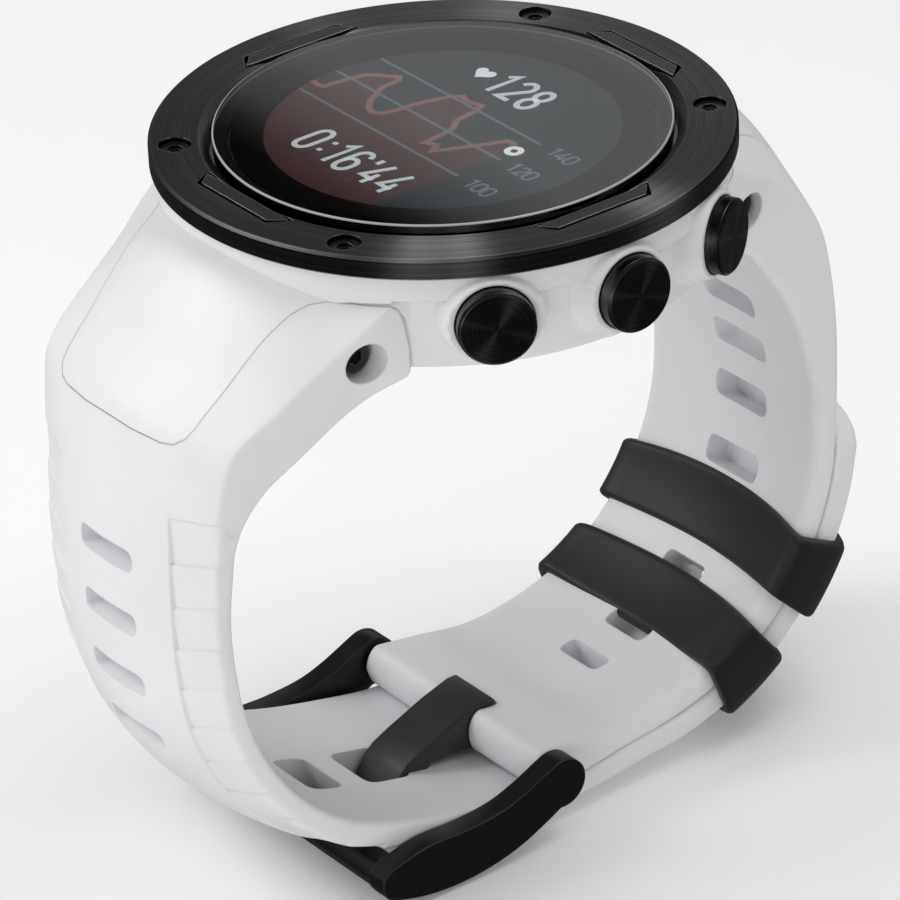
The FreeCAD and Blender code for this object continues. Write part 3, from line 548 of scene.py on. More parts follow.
def strap_ring(row, outer_round=0.4, inner_round=0.4, recess=None, lean=0.0):
    """One closed ring about the strap.

    row holds the outer edge (y, z), the inner edge (y, z), the half width and the crown.
    recess sinks the outer face beside the smooth middle band.
    lean moves the ribbed edges of the outer face back along the strap, per mm outwards.
    """
    outer = np.array(row[0:2])
    inner = np.array(row[2:4])
    half_width, crown = row[4], row[5]
    thickness = float(np.linalg.norm(outer - inner))
    out = (outer - inner) / thickness
    above = min(outer_round, thickness * 0.45)
    below = min(inner_round, thickness * 0.5)
    top_lines = across_lines(half_width, above)
    low_lines = across_lines(half_width, below)
    corner = (22.5, 45.0, 67.5)
    right_side = [polar(above, 90 - turn, (half_width - above, thickness - above)) for turn in corner]
    right_side += [(half_width, thickness - above), (half_width, (thickness - above + below) / 2),
                   (half_width, below)]
    right_side += [polar(below, -turn, (half_width - below, below)) for turn in corner]
    flat = [(x, thickness) for x in top_lines]
    flat += right_side
    flat += [(x, 0.0) for x in reversed(low_lines)]
    flat += [(-x, height) for x, height in reversed(right_side)]
    ring = []
    for x, height in flat:
        share = INNER_CROWN + (1 - INNER_CROWN) * min(1.0, height / thickness)
        rise = height + crown * share * max(0.0, 1 - (x / half_width) ** 2)
        past_band = max(0.0, abs(x) - BAND_EDGE)
        on_outer_face = height > thickness * 0.55
        if on_outer_face and past_band and recess:
            rise -= recess
        place = inner + out * rise
        if on_outer_face:
            place = place + np.array([-out[1], out[0]]) * lean * past_band
        ring.append((x, place[0], place[1]))
    return ring


def squared(rows):
    """Strap rows whose inner point lies straight across the strap from the outer one."""
    outer = rows[:, 0:2]
    reach = np.linspace(0, len(rows) - 1, len(rows) * 12)
    inner = np.stack([np.interp(reach, np.arange(len(rows)), rows[:, 2 + k]) for k in (0, 1)], 1)
    ahead = np.gradient(outer, axis=0)
    ahead /= np.linalg.norm(ahead, axis=1)[:, None]
    facing = []
    for place, way in zip(outer, ahead):
        offset = inner - place
        miss = np.abs(offset @ way) + 0.15 * np.linalg.norm(offset, axis=1)
        facing.append(reach[int(np.argmin(miss))])
    # eased along the strap, so that the inner points never bunch up in a bend
    span = 19
    for _ in range(2):
        drift = np.array(facing) - np.arange(len(rows))
        padded = np.pad(drift, span // 2, mode="edge")
        facing = np.arange(len(rows)) + np.convolve(padded, np.ones(span) / span, mode="valid")
    result = rows.copy()
    for column in (2, 3):
        result[:, column] = np.interp(facing, np.arange(len(rows)), rows[:, column])
    return result


TAIL_OUTER = 23.4
TAIL_INNER = 21.2
UNDER_OUTER = 21.05
UNDER_INNER = 18.9
LOOP_HALF = 10.9
LOOP_CROWN = 2.0


def hole_strap_rows():
    """6 o'clock strap, from its root, round the loop, to the tail's tip."""
    rows = [
        (-14.0, 10.8, -14.0, 3.9, 15.4, 0.2),
        (-15.0, 10.8, -14.9, 3.8, 15.4, 0.5),
        (-16.2, 10.5, -15.7, 3.5, 15.3, 1.2),
        (-18.5, 9.1, -17.3, 2.9, 14.9, 3.2),
        (-21.3, 7.0, -19.7, 1.8, 14.2, 4.9),
        (-24.1, 5.2, -22.3, 0.2, 13.7, 4.2),
        (-26.8, 3.4, -24.9, -1.6, 13.3, 3.1),
        (-29.0, 1.7, -26.8, -3.2, 12.9, 2.7),
        (-30.4, 0.2, -28.1, -4.7, 12.5, 2.6),
        (-31.2, -3.2, -29.2, -7.0, 12.0, 2.5),
        (-31.4, -7.6, -29.7, -10.0, 11.6, 2.5),
        (-31.6, -12.5, -30.1, -13.6, 11.5, 2.5),
        (-31.5, -18.3, -29.9, -18.4, 11.5, 2.5),
        (-30.9, -23.2, -29.2, -22.6, 11.5, 2.5),
        (-29.1, -28.4, -27.4, -27.4, 11.5, 2.4),
        (-26.1, -33.0, -24.5, -31.7, 11.5, 2.2),
        (-21.5, -37.3, -20.2, -35.4, 11.5, 1.8),
        (-14.6, -40.2, -14.0, -38.0, 11.5, 1.4),
        (-7.6, -41.9, -7.3, -39.7, 11.4, 1.2),
        (-0.9, -42.75, -0.9, -40.75, 11.3, 1.0),
        (4.5, -42.55, 4.5, -40.5, 11.15, 1.2),
    ]
    for degrees in range(-88, -6, 9):
        crown = LOOP_CROWN * min(1.0, 0.62 + (degrees + 88) / 60)
        rows.append(loop_row(TAIL_OUTER, TAIL_INNER, degrees, LOOP_HALF, crown))
    return rows


def buckle_strap_rows():
    """12 o'clock strap, from its root to the barrel about the pin."""
    rows = [
        (14.0, 10.8, 14.0, 3.0, 15.4, 0.2),
        (15.0, 10.8, 14.9, 2.9, 15.4, 0.4),
        (16.2, 10.6, 15.7, 2.8, 15.3, 0.9),
        (18.5, 9.7, 17.6, 2.2, 14.9, 2.5),
        (21.5, 7.9, 19.9, 0.9, 14.0, 4.3),
        (23.5, 6.2, 21.3, -0.7, 13.6, 4.2),
        (25.5, 4.2, 22.7, -2.5, 13.1, 3.2),
        (27.8, 0.6, 24.8, -5.6, 12.5, 2.6),
        (29.2, -3.8, 26.3, -8.6, 11.9, 2.4),
        (30.1, -8.7, 27.4, -12.0, 11.4, 2.2),
        (30.4, -13.6, 28.2, -15.3, 11.1, 2.0),
    ]
    for degrees in range(0, -81, -10):
        crown = LOOP_CROWN * min(1.0, 0.45 + (degrees + 88) / 60)
        rows.append(loop_row(UNDER_OUTER, UNDER_INNER, degrees, LOOP_HALF, crown))
    rows.append((7.0, -40.2, 7.0, -37.8, LOOP_HALF + 0.1, 0.7))
    rows.append((3.4, -40.6, 3.4, -37.3, LOOP_HALF + 0.3, 0.35))
    return rows


def loop_row(outer_radius, inner_radius, degrees, half_width, crown):
    """A strap row on the loop's circle."""
    return (*polar(outer_radius, degrees, LOOP), *polar(inner_radius, degrees, LOOP),
            half_width, crown)


def barrel_rows():
    """The strap's round end: the upper and lower points run round the pin until they meet."""
    front = 0.62
    rows = []
    for degrees in (82, 95, 108, 121, 134, 146, 157, 166, 173):
        ahead, up = polar(BARREL_RADIUS, degrees)
        reach_y = PIN_Y + ahead * front
        rows.append((reach_y, PIN_Z - up, reach_y, PIN_Z + up, STRAP_HALF - 0.1, 0.1))
    return rows


RIB_TOP = -5.4      # height of the first rib
RIB_STEP = 3.62     # along the strap
RIB_COUNT = 11
RIB_LEAN = -0.22


def ribbed_rows(rows):
    """Strap rows with a pair of close rows at each rib's step; returns rows and recesses."""
    chords = np.hypot(np.diff(rows[:, 0]), np.diff(rows[:, 1]))
    place = np.concatenate([[0.0], np.cumsum(chords)])
    start_index = int(np.argmin(np.where(rows[:, 0] < -28, np.abs(rows[:, 1] - RIB_TOP), 1e9)))
    first = place[start_index]
    steps = [first + RIB_STEP * index for index in range(RIB_COUNT + 1)]
    wanted = [w for w in place if not any(abs(w - step) < 0.2 for step in steps)]
    wanted = sorted(wanted + [step + side for step in steps for side in (-0.03, 0.03)])
    columns = [np.interp(wanted, place, rows[:, column]) for column in range(rows.shape[1])]
    recesses = []
    for at in wanted:
        phase = (at - first) / RIB_STEP
        if phase < 0 or phase > RIB_COUNT:
            recesses.append(0.0)
        else:
            recesses.append(0.12 + 0.16 * (phase % 1.0))
    return np.stack(columns, axis=1), recesses


def slot_cutter(name, half_x, half_v, place_yz, degrees, half_depth=4.0, radius=0.9):
    """A rounded slot that cuts along a direction in the YZ plane, given in degrees."""
    outline = rounded_outline([
        (-half_x, -half_v, radius), (half_x, -half_v, radius),
        (half_x, half_v, radius), (-half_x, half_v, radius),
    ], 5)
    c, s = math.cos(math.radians(degrees)), math.sin(math.radians(degrees))

    def place(u, v, w):
        return (u, place_yz[0] + w * c - v * s, place_yz[1] + w * s + v * c)

    return prism(name, outline, (-half_depth, half_depth), place)


def rod(name, radius, start, end, steps=40):
    """A cylinder between two points, for cutting."""
    start, end = Vector(start), Vector(end)
    axis = (end - start).normalized()
    side = axis.orthogonal().normalized()
    other = axis.cross(side)
    rings = [[tuple(centre + side * u + other * v) for u, v in circle(radius, steps)]
             for centre in (start, end)]
    return loft(name, rings, 30.0)


# ---------------------------------------------------------------- lug panels

PANEL_DOWN = Vector((0, -0.75, -0.66)).normalized()
PANEL_OUT = Vector((0, -0.66, 0.75)).normalized()


def panel_outline():
    """Plan of the case's lug panel, seen along its own normal: u across, v down the strap."""
    side = [
        (16.0, -6.0), (16.0, 5.0), (14.4, 6.0), (12.4, 7.0), (11.0, 7.9), (10.2, 8.9),
        (9.8, 10.2), (9.3, 13.5), (8.9, 17.5), (8.5, 21.4), (8.2, 22.5), (7.4, 23.3),
        (6.2, 23.7), (3.0, 24.0),
    ]
    return side + [(-u, v) for u, v in reversed(side)]


def panel_prism(name, gap, mirror):
    """The panel as a solid: its underside stays above the strap's inner face."""
    outline = grown(panel_outline(), gap)
    depth = (14.2 - gap, 30.0 + gap)
    slope = 0.27

    def place(u, v, w):
        point = PANEL_DOWN * v + PANEL_OUT * (w + slope * v)
        return (u, -point.y if mirror else point.y, point.z)

    return prism(name, outline, depth, place)


# ---------------------------------------------------------------- case

def case_radius(azimuth, height):
    """Outer radius of the case wall: a band, a set-back flank and a cone round each pusher."""
    flank = 22.4 - 0.9 * smooth((10.4 - height) / 6.0)
    # between the pushers the wall is set back below the band, less so towards the foot
    recess_reach = 19.6
    recess_top = 10.78
    nearest = min(abs(wrap(azimuth - centre)) for centre in PUSHER_AZIMUTHS.values())
    depth = 0.85 * smooth((recess_top - height) / 0.16) * (1 - 0.6 * smooth((10.6 - height) / 6.2))
    base = flank - depth * smooth(recess_reach - nearest)
    # each boss is a flat of radius 3.35 at 23.2, with a cone that falls away round it
    boss_face, boss_flat, boss_slope, softness = 23.2, 3.35, 2.3, 0.07
    for centre in PUSHER_AZIMUTHS.values():
        turn = math.radians(wrap(azimuth - centre))
        if abs(turn) > 0.5:
            continue
        off = math.hypot(base * math.sin(turn), height - PUSHER_HEIGHT)
        cone = (boss_face - max(0.0, off - boss_flat) * boss_slope) / math.cos(turn)
        base += softness * math.log1p(math.exp(min(40.0, (cone - base) / softness)))
    return base


def smooth(t):
    t = max(0.0, min(1.0, t))
    return t * t * (3 - 2 * t)


def wrap(degrees):
    return (degrees + 180.0) % 360.0 - 180.0


def make_case():
    """The white shell: wall, bosses and lug panels, with room for the strap roots."""
    top = BEZEL_FOOT - 0.06
    wall_foot, foot, round_off = 4.95, 4.4, 0.55
    wall = list(np.linspace(top, wall_foot, 72))
    rings = []
    columns = 720
    for column in range(columns):
        azimuth = 360.0 * column / columns
        profile = [(16.5, top), (20.0, top)]
        profile += [(case_radius(azimuth, height), height) for height in wall]
        low = case_radius(azimuth, wall_foot)
        for step in (18, 36, 54, 72, 90):
            profile.append(polar(round_off, -step, (low - round_off, wall_foot)))
        profile += [(19.5, foot), (15.6, foot), (15.6, 6.0), (16.5, 9.0)]
        rings.append([(*polar(radius, azimuth), height) for radius, height in profile])
    case = loft("case_body", rings, 32.0, closed=True)

    cutters = [strap_room(False), strap_room(True)]
    for azimuth in PUSHER_AZIMUTHS.values():
        cutters.append(rod("pusher_well", 3.14, (*polar(21.9, azimuth), PUSHER_HEIGHT),
                           (*polar(26, azimuth), PUSHER_HEIGHT), 64))
    motor_low, motor_high = box_mm("vibration_motor")
    motor = (motor_low + motor_high) / 2
    cutters.append(rod("motor_room", motor_high.x - motor.x + 0.15,
                       (motor.x, motor.y, motor_low.z - 0.1), (motor.x, motor.y, 8.5)))
    combine(case, cutters, "DIFFERENCE", 32.0)
    for mirror in (False, True):
        combine(case, [make_lug(mirror)], "UNION", 32.0)
    finished(case, "watch", "case_white_polymer", look["case"], "mid_case")


# the seam between case and strap root on the 6 o'clock side, (y, z)
ROOT_CURVE = [(-15.2, 2.0), (-15.2, 3.9), (-15.0, 4.8), (-15.1, 6.6), (-15.5, 8.6), (-16.1, 10.6)]


def strap_room(mirror):
    """The room below the case's rim that each strap root fills."""
    sign = -1 if mirror else 1
    outline = [(-18.5, 10.4), (-30.0, 6.0), (-30.0, 0.0)] + ROOT_CURVE
    return prism("strap_room", outline, (-17.5, 17.5),
                 lambda u, v, w: (w, u * sign, v))


def root_trim(mirror):
    """What the strap's root leaves to the case: all that lies inside the root's curve."""
    sign = -1 if mirror else 1
    outline = [(u - 0.1, v) for u, v in ROOT_CURVE]
    outline += [(-16.2, 14.0), (-10.0, 14.0), (-10.0, 1.0), (-15.3, 1.0)]
    return prism("root_trim", outline, (-17.5, 17.5), lambda u, v, w: (w, u * sign, v))


def make_lug(mirror):
    """The lug panel: the strap's own surface inside the panel's outline."""
    rows = squared(through(buckle_strap_rows() if mirror else hole_strap_rows(), 0.6))
    rings = [strap_ring(row, 0.35, 0.6) for row in rows[:52]]
    lug = loft("lug_body", rings)
    return combine(lug, [panel_prism("lug_outline", 0.0, mirror)], "INTERSECT", 32.0)


# ---------------------------------------------------------------- straps

def screw_recess(sign):
    """The recesses about the two lug screws."""
    return [rod("recess", 1.72, (12.0 * hand, 18.7 * sign, 6.0), (17 * hand, 18.7 * sign, 6.0), 48)
            for hand in (1, -1)]


def nearest_row(rows, height, far_side):
    """The strap row at a height on the 12 o'clock (far) or the 6 o'clock side."""
    far_start, near_end = 21, -3
    wanted = [row for row in rows if (row[0] > far_start if far_side else row[0] < near_end)]
    return min(wanted, key=lambda row: abs(row[1] - height))


def through_slot(name, row, half_x, half_v, radius):
    """A slot that goes straight through the strap at a row."""
    angle = math.degrees(math.atan2(row[1] - row[3], row[0] - row[2]))
    return slot_cutter(name, half_x, half_v, (row[0], row[1]), angle, 7.0, radius)


def tail_tip(tip):
    """Rings that round off the strap's end, ahead of its last row."""
    out = np.array([tip[0] - tip[2], tip[1] - tip[3]])
    out /= np.linalg.norm(out)
    ahead = np.array([-out[1], out[0]])
    tip_length, narrowing = 3.0, 4.0
    rings = []
    for turn in (12, 24, 36, 48, 60, 72, 82):
        c, s = polar(1.0, turn)
        row = tip.copy()
        row[0:2] += ahead * tip_length * s
        row[2:4] += ahead * tip_length * s
        row[4] -= narrowing * (1 - c)
        row[5] *= (row[4] / tip[4]) ** 2
        rings.append(strap_ring(row, 0.5, 0.5))
    return rings


def strap_cutters(mirror, kind, size, rows, heights):
    """What both straps lose: the root's trim, the panel, the screw recesses and side slots."""
    cutters = [root_trim(mirror), panel_prism("panel_gap", 0.04, mirror)]
    cutters += screw_recess(1 if mirror else -1)
    for height in heights:
        cutters.append(through_slot(kind, nearest_row(rows, height, mirror), *size))
    return cutters


def make_hole_strap():
    rows, recesses = ribbed_rows(squared(through(hole_strap_rows(), 0.6)))
    rings = []
    for row, recess in zip(rows, recesses):
        lean = RIB_LEAN * smooth((-26.0 - row[0]) / 4.0)
        rings.append(strap_ring(row, 0.35, 0.6, recess, lean))
    strap = loft("strap_hole_side", rings + tail_tip(rows[-1]))
    cutters = strap_cutters(False, "vent", (3.4, 0.95, 0.85), rows, (-10.5, -16.0, -21.2, -26.3))
    for place_y, half in ((-9.9, 2.05), (-15.8, 1.5)):
        cutters.append(slot_cutter("adjusting_hole", 2.9, half, (place_y, -41.5), -80.0, 5.0, 1.0))
    for degrees in (-62, -45, -28):
        cutters.append(slot_cutter("adjusting_hole", 2.7, 1.1, polar(24.5, degrees, LOOP),
                                   degrees, 4.0, 0.9))
    combine(strap, cutters, "DIFFERENCE")
    finished(strap, "watch", "strap_white_silicone", look["strap"], "strap_hole_side")


def make_buckle_strap():
    rows = squared(through(buckle_strap_rows(), 0.6))
    rings = [strap_ring(row, 0.4, 1.0) for row in rows]
    rings += [strap_ring(row, 0.5, 0.5) for row in barrel_rows()]
    strap = loft("strap_buckle_side", rings)
    cutters = strap_cutters(True, "window", (3.2, 1.15, 0.8), rows, (-9.8, -14.6, -20.0, -25.6))
    for degrees in (-48.8, -58.3, -67.8, -82.0):
        cutters.append(slot_cutter("small_window", 2.4, 0.95, polar(21.5, degrees, LOOP),
                                   degrees, 4.5, 0.7))
    mouth = rounded_outline([(-2.6, -6.0), (2.6, -6.0), (2.6, 2.0, 0.6), (-2.6, 2.0, 0.6)], 4)
    cutters.append(prism("tongue_mouth", mouth, (-6.0, 6.0),
                         lambda u, v, w: (u, PIN_Y + v, PIN_Z + w)))
    cutters.append(rod("pin_bore", 0.8, (-14, *PIN), (14, *PIN)))
    combine(strap, cutters, "DIFFERENCE")
    finished(strap, "watch", "strap_white_silicone", look["strap"], "strap_buckle_side")


# ---------------------------------------------------------------- keepers

def band_outline(half, low, high, crown, radius):
    """Closed outline in (x, radius): a rounded box whose long sides are crowned outwards."""
    corners = [(-half, low, radius), (half, low, radius), (half, high, radius), (-half, high, radius)]
    outline = []
    for u, v in subdivided(rounded_outline(corners, 5), 0.8):
        outline.append((u, v + crown * (1 - (u / half) ** 2)))
    return outline


def subdivided(outline, longest):
    result = []
    for index, start in enumerate(outline):
        end = outline[(index + 1) % len(outline)]
        count = max(1, int(math.dist(start, end) / longest))
        for step in range(count):
            t = step / count
            result.append((start[0] + (end[0] - start[0]) * t, start[1] + (end[1] - start[1]) * t))
    return result


def resampled(outline, count):
    """The closed outline as count points, evenly spaced, starting at the same side."""
    loop = np.array(outline + [outline[0]])
    place = np.concatenate([[0], np.cumsum(np.hypot(*np.diff(loop, axis=0).T))])
    wanted = np.linspace(0, place[-1], count, endpoint=False)
    return np.stack([np.interp(wanted, place, loop[:, 0]), np.interp(wanted, place, loop[:, 1])], 1)


def make_keeper(name, high_degrees, low_degrees):
    """A rubber loop round both strap layers, bowed towards the case at its middle."""
    count = 180
    wall = 1.0
    room = LOOP_HALF + 0.1
    half = room + wall
    inner = resampled(band_outline(room, UNDER_INNER - 0.08, TAIL_OUTER + 0.08, 2.0, 0.9), count)
    outer = resampled(band_outline(half, UNDER_INNER - 0.08 - wall, TAIL_OUTER + 0.08 + wall,
                                   2.0, 2.2), count)
    sections = 12
    lip = 0.5
    skin = []

    def add_ring(outline, share, inset_mm):
        ring = []
        for index, (u, radius) in enumerate(outline):
            # inset_mm pulls the ring from the outer towards the inner outline, to round the edges
            pull = inset_mm / wall
            u = u + (inner[index][0] - outer[index][0]) * pull
            radius = radius + (inner[index][1] - outer[index][1]) * pull
            bow = max(0.0, 1 - (u / half) ** 2)
            high = high_degrees + 3.9 * bow
            low = low_degrees + 2.6 * bow
            ring.append((u, *polar(radius, high + (low - high) * share, LOOP)))
        skin.append(ring)

    middle_radius = 22
    soft = lip / (math.radians(high_degrees - low_degrees) * middle_radius)
    corner = [(1 - math.cos(a), 1 - math.sin(a)) for a in (0.0, 0.4, 0.8, 1.2, math.pi / 2)]
    for along, inset in corner:
        add_ring(outer, along * soft, inset * lip)
    for step in range(1, sections):
        add_ring(outer, soft + (1 - 2 * soft) * step / sections, 0.0)
    for along, inset in reversed(corner):
        add_ring(outer, 1 - along * soft, inset * lip)
    for step in range(sections, -1, -1):
        add_ring(inner, step / sections, 0.0)
    keeper = loft(name, skin, 50.0, closed=True)
    make_solid_normals(keeper)
    shade(keeper, 50.0)
    finished(keeper, name, "keeper_black_rubber", look["keeper"], name)


# ---------------------------------------------------------------- buckle

def arm_outline():
    """Side outline of a buckle arm: an eye about the pin and a bow that hugs the strap."""
    points = [polar(2.15, degrees, PIN) for degrees in range(110, -101, -10)]
    lower = through([(-2.4, -41.6), (-5.0, -42.75), (-11.0, -43.85), (-15.5, -43.5), (-17.9, -42.85)],
                    0.8)
    tip = through([(-18.6, -42.5), (-19.1, -41.7), (-19.0, -40.6)], 0.4)
    upper = through([(-18.0, -39.9), (-14.7, -39.2), (-10.7, -39.25), (-6.6, -38.85),
                     (-4.4, -38.1), (-2.6, -37.3)], 0.8)
    for part in (lower, tip, upper):
        points += [tuple(point) for point in part]
    return points


def make_buckle():
    inside = STRAP_HALF + 0.22
    parts = []
    for hand in (1, -1):
        span = (inside * hand, (inside + 1.95) * hand)
        arm = prism("arm", arm_outline(), span, lambda u, v, w: (w, u, v))
        make_solid_normals(arm)
        parts.append(arm)
    far_bar = rounded_outline([
        (-13.9, -43.05, 0.3), (-18.3, -40.3, 0.4), (-19.1, -41.2, 0.5), (-18.4, -42.6, 0.8),
        (-14.4, -43.85, 0.5),
    ], 5)
    bar = prism("bar", far_bar, (-inside - 0.4, inside + 0.4), lambda u, v, w: (w, u, v))
    frame_piece = parts[0]
    frame_piece.name = "buckle_frame_piece"
    combine(frame_piece, [parts[1], bar], "UNION", 40.0)
    bevelled(frame_piece, 0.28, 3, 40.0)
    combine(frame_piece, [
        rod("bore", 0.82, (-PIN_REACH, *PIN), (PIN_REACH, *PIN)),
        slot_cutter("tongue_notch", 2.8, 1.9, (-14.9, -44.6), -90.0, 1.7, 0.5),
    ], "DIFFERENCE", 45.0)
    finished(frame_piece, "buckle_frame", "buckle_black_metal", look["buckle"], "buckle_frame")


def make_tongue():
    points = [polar(1.75, degrees, PIN) for degrees in range(60, -121, -12)]
    points += [(-5.6, -40.2), (-7.2, -41.4), (-7.9, -42.9), (-9.6, -44.1), (-12.0, -44.35),
               (-16.2, -43.9), (-16.9, -43.3), (-16.6, -42.75), (-12.2, -42.95), (-10.6, -42.4),
               (-9.7, -41.2), (-8.9, -40.1), (-8.2, -39.5), (-6.6, -38.75), (-3.0, -37.3),
               (-0.4, -36.5), (0.5, -36.5), (1.0, -37.1)]
    tongue = prism("buckle_tongue_piece", points, (-2.45, 2.45), lambda u, v, w: (w, u, v))
    make_solid_normals(tongue)
    bevelled(tongue, 0.35, 3, 30.0)
    finished(tongue, "buckle_tongue", "buckle_black_metal", look["tongue"], "buckle_tongue")


# ---------------------------------------------------------------- glass

def make_lens():
    """The cover glass: a flat disc with a fine chamfer."""
    edge = lens_high.x
    profile = [
        (edge - 0.14, lens_high.z), (edge - 0.04, lens_high.z - 0.05), (edge, lens_high.z - 0.14),
        (edge, lens_low.z + 0.15), (edge - 0.15, lens_low.z),
    ]
    lens = turned("cover_glass", profile, 192, 20.0)
    make_solid_normals(lens)
    finished(lens, "watch", "cover_glass", look["glass"], "lens")


# ---------------------------------------------------------------- display

DISPLAY_Z = panel_high.z + 0.02


def flat_piece(name, loop, material, height=0.0):
    """A flat ink shape a hair above the display's face."""
    points = [(x, y, DISPLAY_Z + height) for x, y in loop]
    piece = mesh_object(name, points, [tuple(range(len(loop)))])
    finished(piece, "watch", "display_surface", material)


def arc(cx, cy, rx, ry, start, end, steps=9):
    angles = np.radians(np.linspace(start, end, steps))
    return [(cx + rx * math.cos(a), cy + ry * math.sin(a)) for a in angles]


def glyph(character):
    """Centre lines of one numeral in a cell one wide and one high."""
    bend = 0.24
    if character == "0":
        return [arc(0.5, 1 - bend, 0.5, bend, 0, 180) + arc(0.5, bend, 0.5, bend, 180, 360)
                + [(1.0, 1 - bend)]]
    if character == "1":
        return [[(0.2, 0.80), (0.70, 1.0), (0.70, 0.0)]]
    if character == "2":
        return [arc(0.5, 1 - bend, 0.5, bend, 170, -20, 12) + [(0.02, 0.03), (1.0, 0.03)]]
    if character == "4":
        return [[(0.74, 1.0), (0.0, 0.26), (1.05, 0.26)], [(0.8, 0.52), (0.8, 0.0)]]
    if character == "6":
        return [arc(0.5, 1 - bend, 0.5, bend, 15, 180, 9) + arc(0.5, bend, 0.5, bend, 180, 360)
                + arc(0.5, 0.36, 0.5, 0.22, 0, 180)]
    if character == "8":
        return [arc(0.5, 0.76, 0.46, 0.24, -90, 270, 20), arc(0.5, 0.26, 0.5, 0.26, 90, 450, 20)]
    if character == ":":
        return [[(0.5, 0.22), (0.5, 0.34)], [(0.5, 0.66), (0.5, 0.78)]]
    return [[(0.5, 1.0), (0.5, 0.78)]]


def ribbon(path, width):
    """One loop round a path of the given width, with mitred bends."""
    points = np.array(path)
    ahead = np.diff(points, axis=0)
    ahead /= np.linalg.norm(ahead, axis=1)[:, None]
    before = np.vstack([ahead[:1], ahead])
    after = np.vstack([ahead, ahead[-1:]])
    mean = before + after
    mean /= np.linalg.norm(mean, axis=1)[:, None]
    side = np.stack([-mean[:, 1], mean[:, 0]], 1)
    stretch = np.clip(np.sum(mean * after, axis=1), 0.5, 1.0)[:, None]
    offset = side / stretch * width / 2
    return points + offset, points - offset


def ribbons(name, paths, width, material, height=0.0):
    """Flat strips along paths, a hair above the display's face."""
    points, faces = [], []
    for path in paths:
        left, right = ribbon(path, width)
        start = len(points)
        for a, b in zip(left, right):
            points.append((a[0], a[1], DISPLAY_Z + height))
            points.append((b[0], b[1], DISPLAY_Z + height))
        for step in range(len(path) - 1):
            first = start + 2 * step
            faces.append((first, first + 1, first + 3, first + 2))
    piece = mesh_object(name, points, faces)
    finished(piece, "watch", "display_surface", material)


def numerals(name, text, left, base, size, advances, width, material):
    """Plain numerals laid out along +X; size is (cell width, height)."""
    paths = []
    place = left
    for character, advance in zip(text, advances):
        for path in glyph(character):
            paths.append([(place + x * size[0], base + y * size[1]) for x, y in path])
        place += advance
    ribbons(name, paths, width, material, 0.05)


def heart_loop(x, y, scale):
    steps = 36
    loop = []
    for step in range(steps):
        t = 2 * math.pi * step / steps
        high = 13 * math.cos(t) - 5 * math.cos(2 * t) - 2 * math.cos(3 * t) - math.cos(4 * t)
        loop.append((x + scale * 16 * math.sin(t) ** 3, y + scale * high))
    return loop[::-1]


def make_display():
    """A running screen: heart rate, its graph with three levels, and the elapsed time."""
    radius = 14.0
    for label, y in {"140": 3.9, "120": -0.05, "100": -4.15}.items():
        left = -math.sqrt(radius**2 - y * y) + 0.15
        ribbons(f"level_line_{label}", [[(left, y), (7.35, y)]], 0.3, look["print_line"], 0.03)
        numerals(f"level_{label}", label, 8.65, y - 0.72, (0.78, 1.4), (1.05, 1.05, 1.05), 0.25,
                 look["print_dim"])
    flat_piece("display_glow", circle(radius, 96), look["print_glow"], 0.0)
    trace = graph_path()
    ribbons("graph_line", [trace], 0.55, look["print_red"], 0.02)
    rim = [polar(radius, degrees) for degrees in range(300, 178, -4)]
    shape = trace + [(6.8, 1.9), (6.8, -12.2)] + rim
    flat_piece("graph_fill", shape, look["print_fill"], 0.01)
    numerals("elapsed_time", "0:16'44", -5.9, -10.4, (1.34, 3.55),
             (1.78, 1.42, 1.95, 1.65, 1.22, 2.2, 2.1), 0.46, look["print_pale"])
    numerals("heart_rate", "128", -4.0, 6.6, (1.35, 3.45), (2.15, 2.15, 2.15), 0.50,
             look["print_pale"])
    ribbons("trace_marker", [circle(0.55, 28, (6.9, 1.65)) + [(7.45, 1.65)]], 0.5,
            look["print_white"], 0.06)
    flat_piece("heart_icon", heart_loop(-5.6, 8.35, 0.062), look["print_white"], 0.05)


def graph_path():
    """The heart rate's trace across the display, in mm."""
    return [
        (-13.75, -2.5), (-12.9, -2.65), (-12.3, -2.5), (-12.1, -0.4), (-11.8, 1.1), (-11.1, 1.9),
        (-10.2, 2.5), (-9.7, 3.0), (-9.2, 2.6), (-9.0, 0.8), (-8.4, -0.2), (-7.8, -1.2),
        (-6.9, -2.1), (-6.0, -2.4), (-5.3, -1.9), (-5.0, -0.7), (-4.9, 0.9), (-4.5, 2.5),
        (-4.1, 3.9), (-3.5, 4.6), (-2.6, 4.3), (-1.8, 4.5), (-1.2, 4.7), (-0.7, 3.7), (-0.4, 1.7),
        (0.5, 0.6), (0.8, -0.6), (1.0, -2.6), (2.0, -2.1), (2.6, -3.0), (3.2, -1.8), (3.9, -0.3),
        (4.5, 0.9), (5.1, 2.4), (5.8, 2.5), (6.3, 2.0),
    ]


# ---------------------------------------------------------------- looks

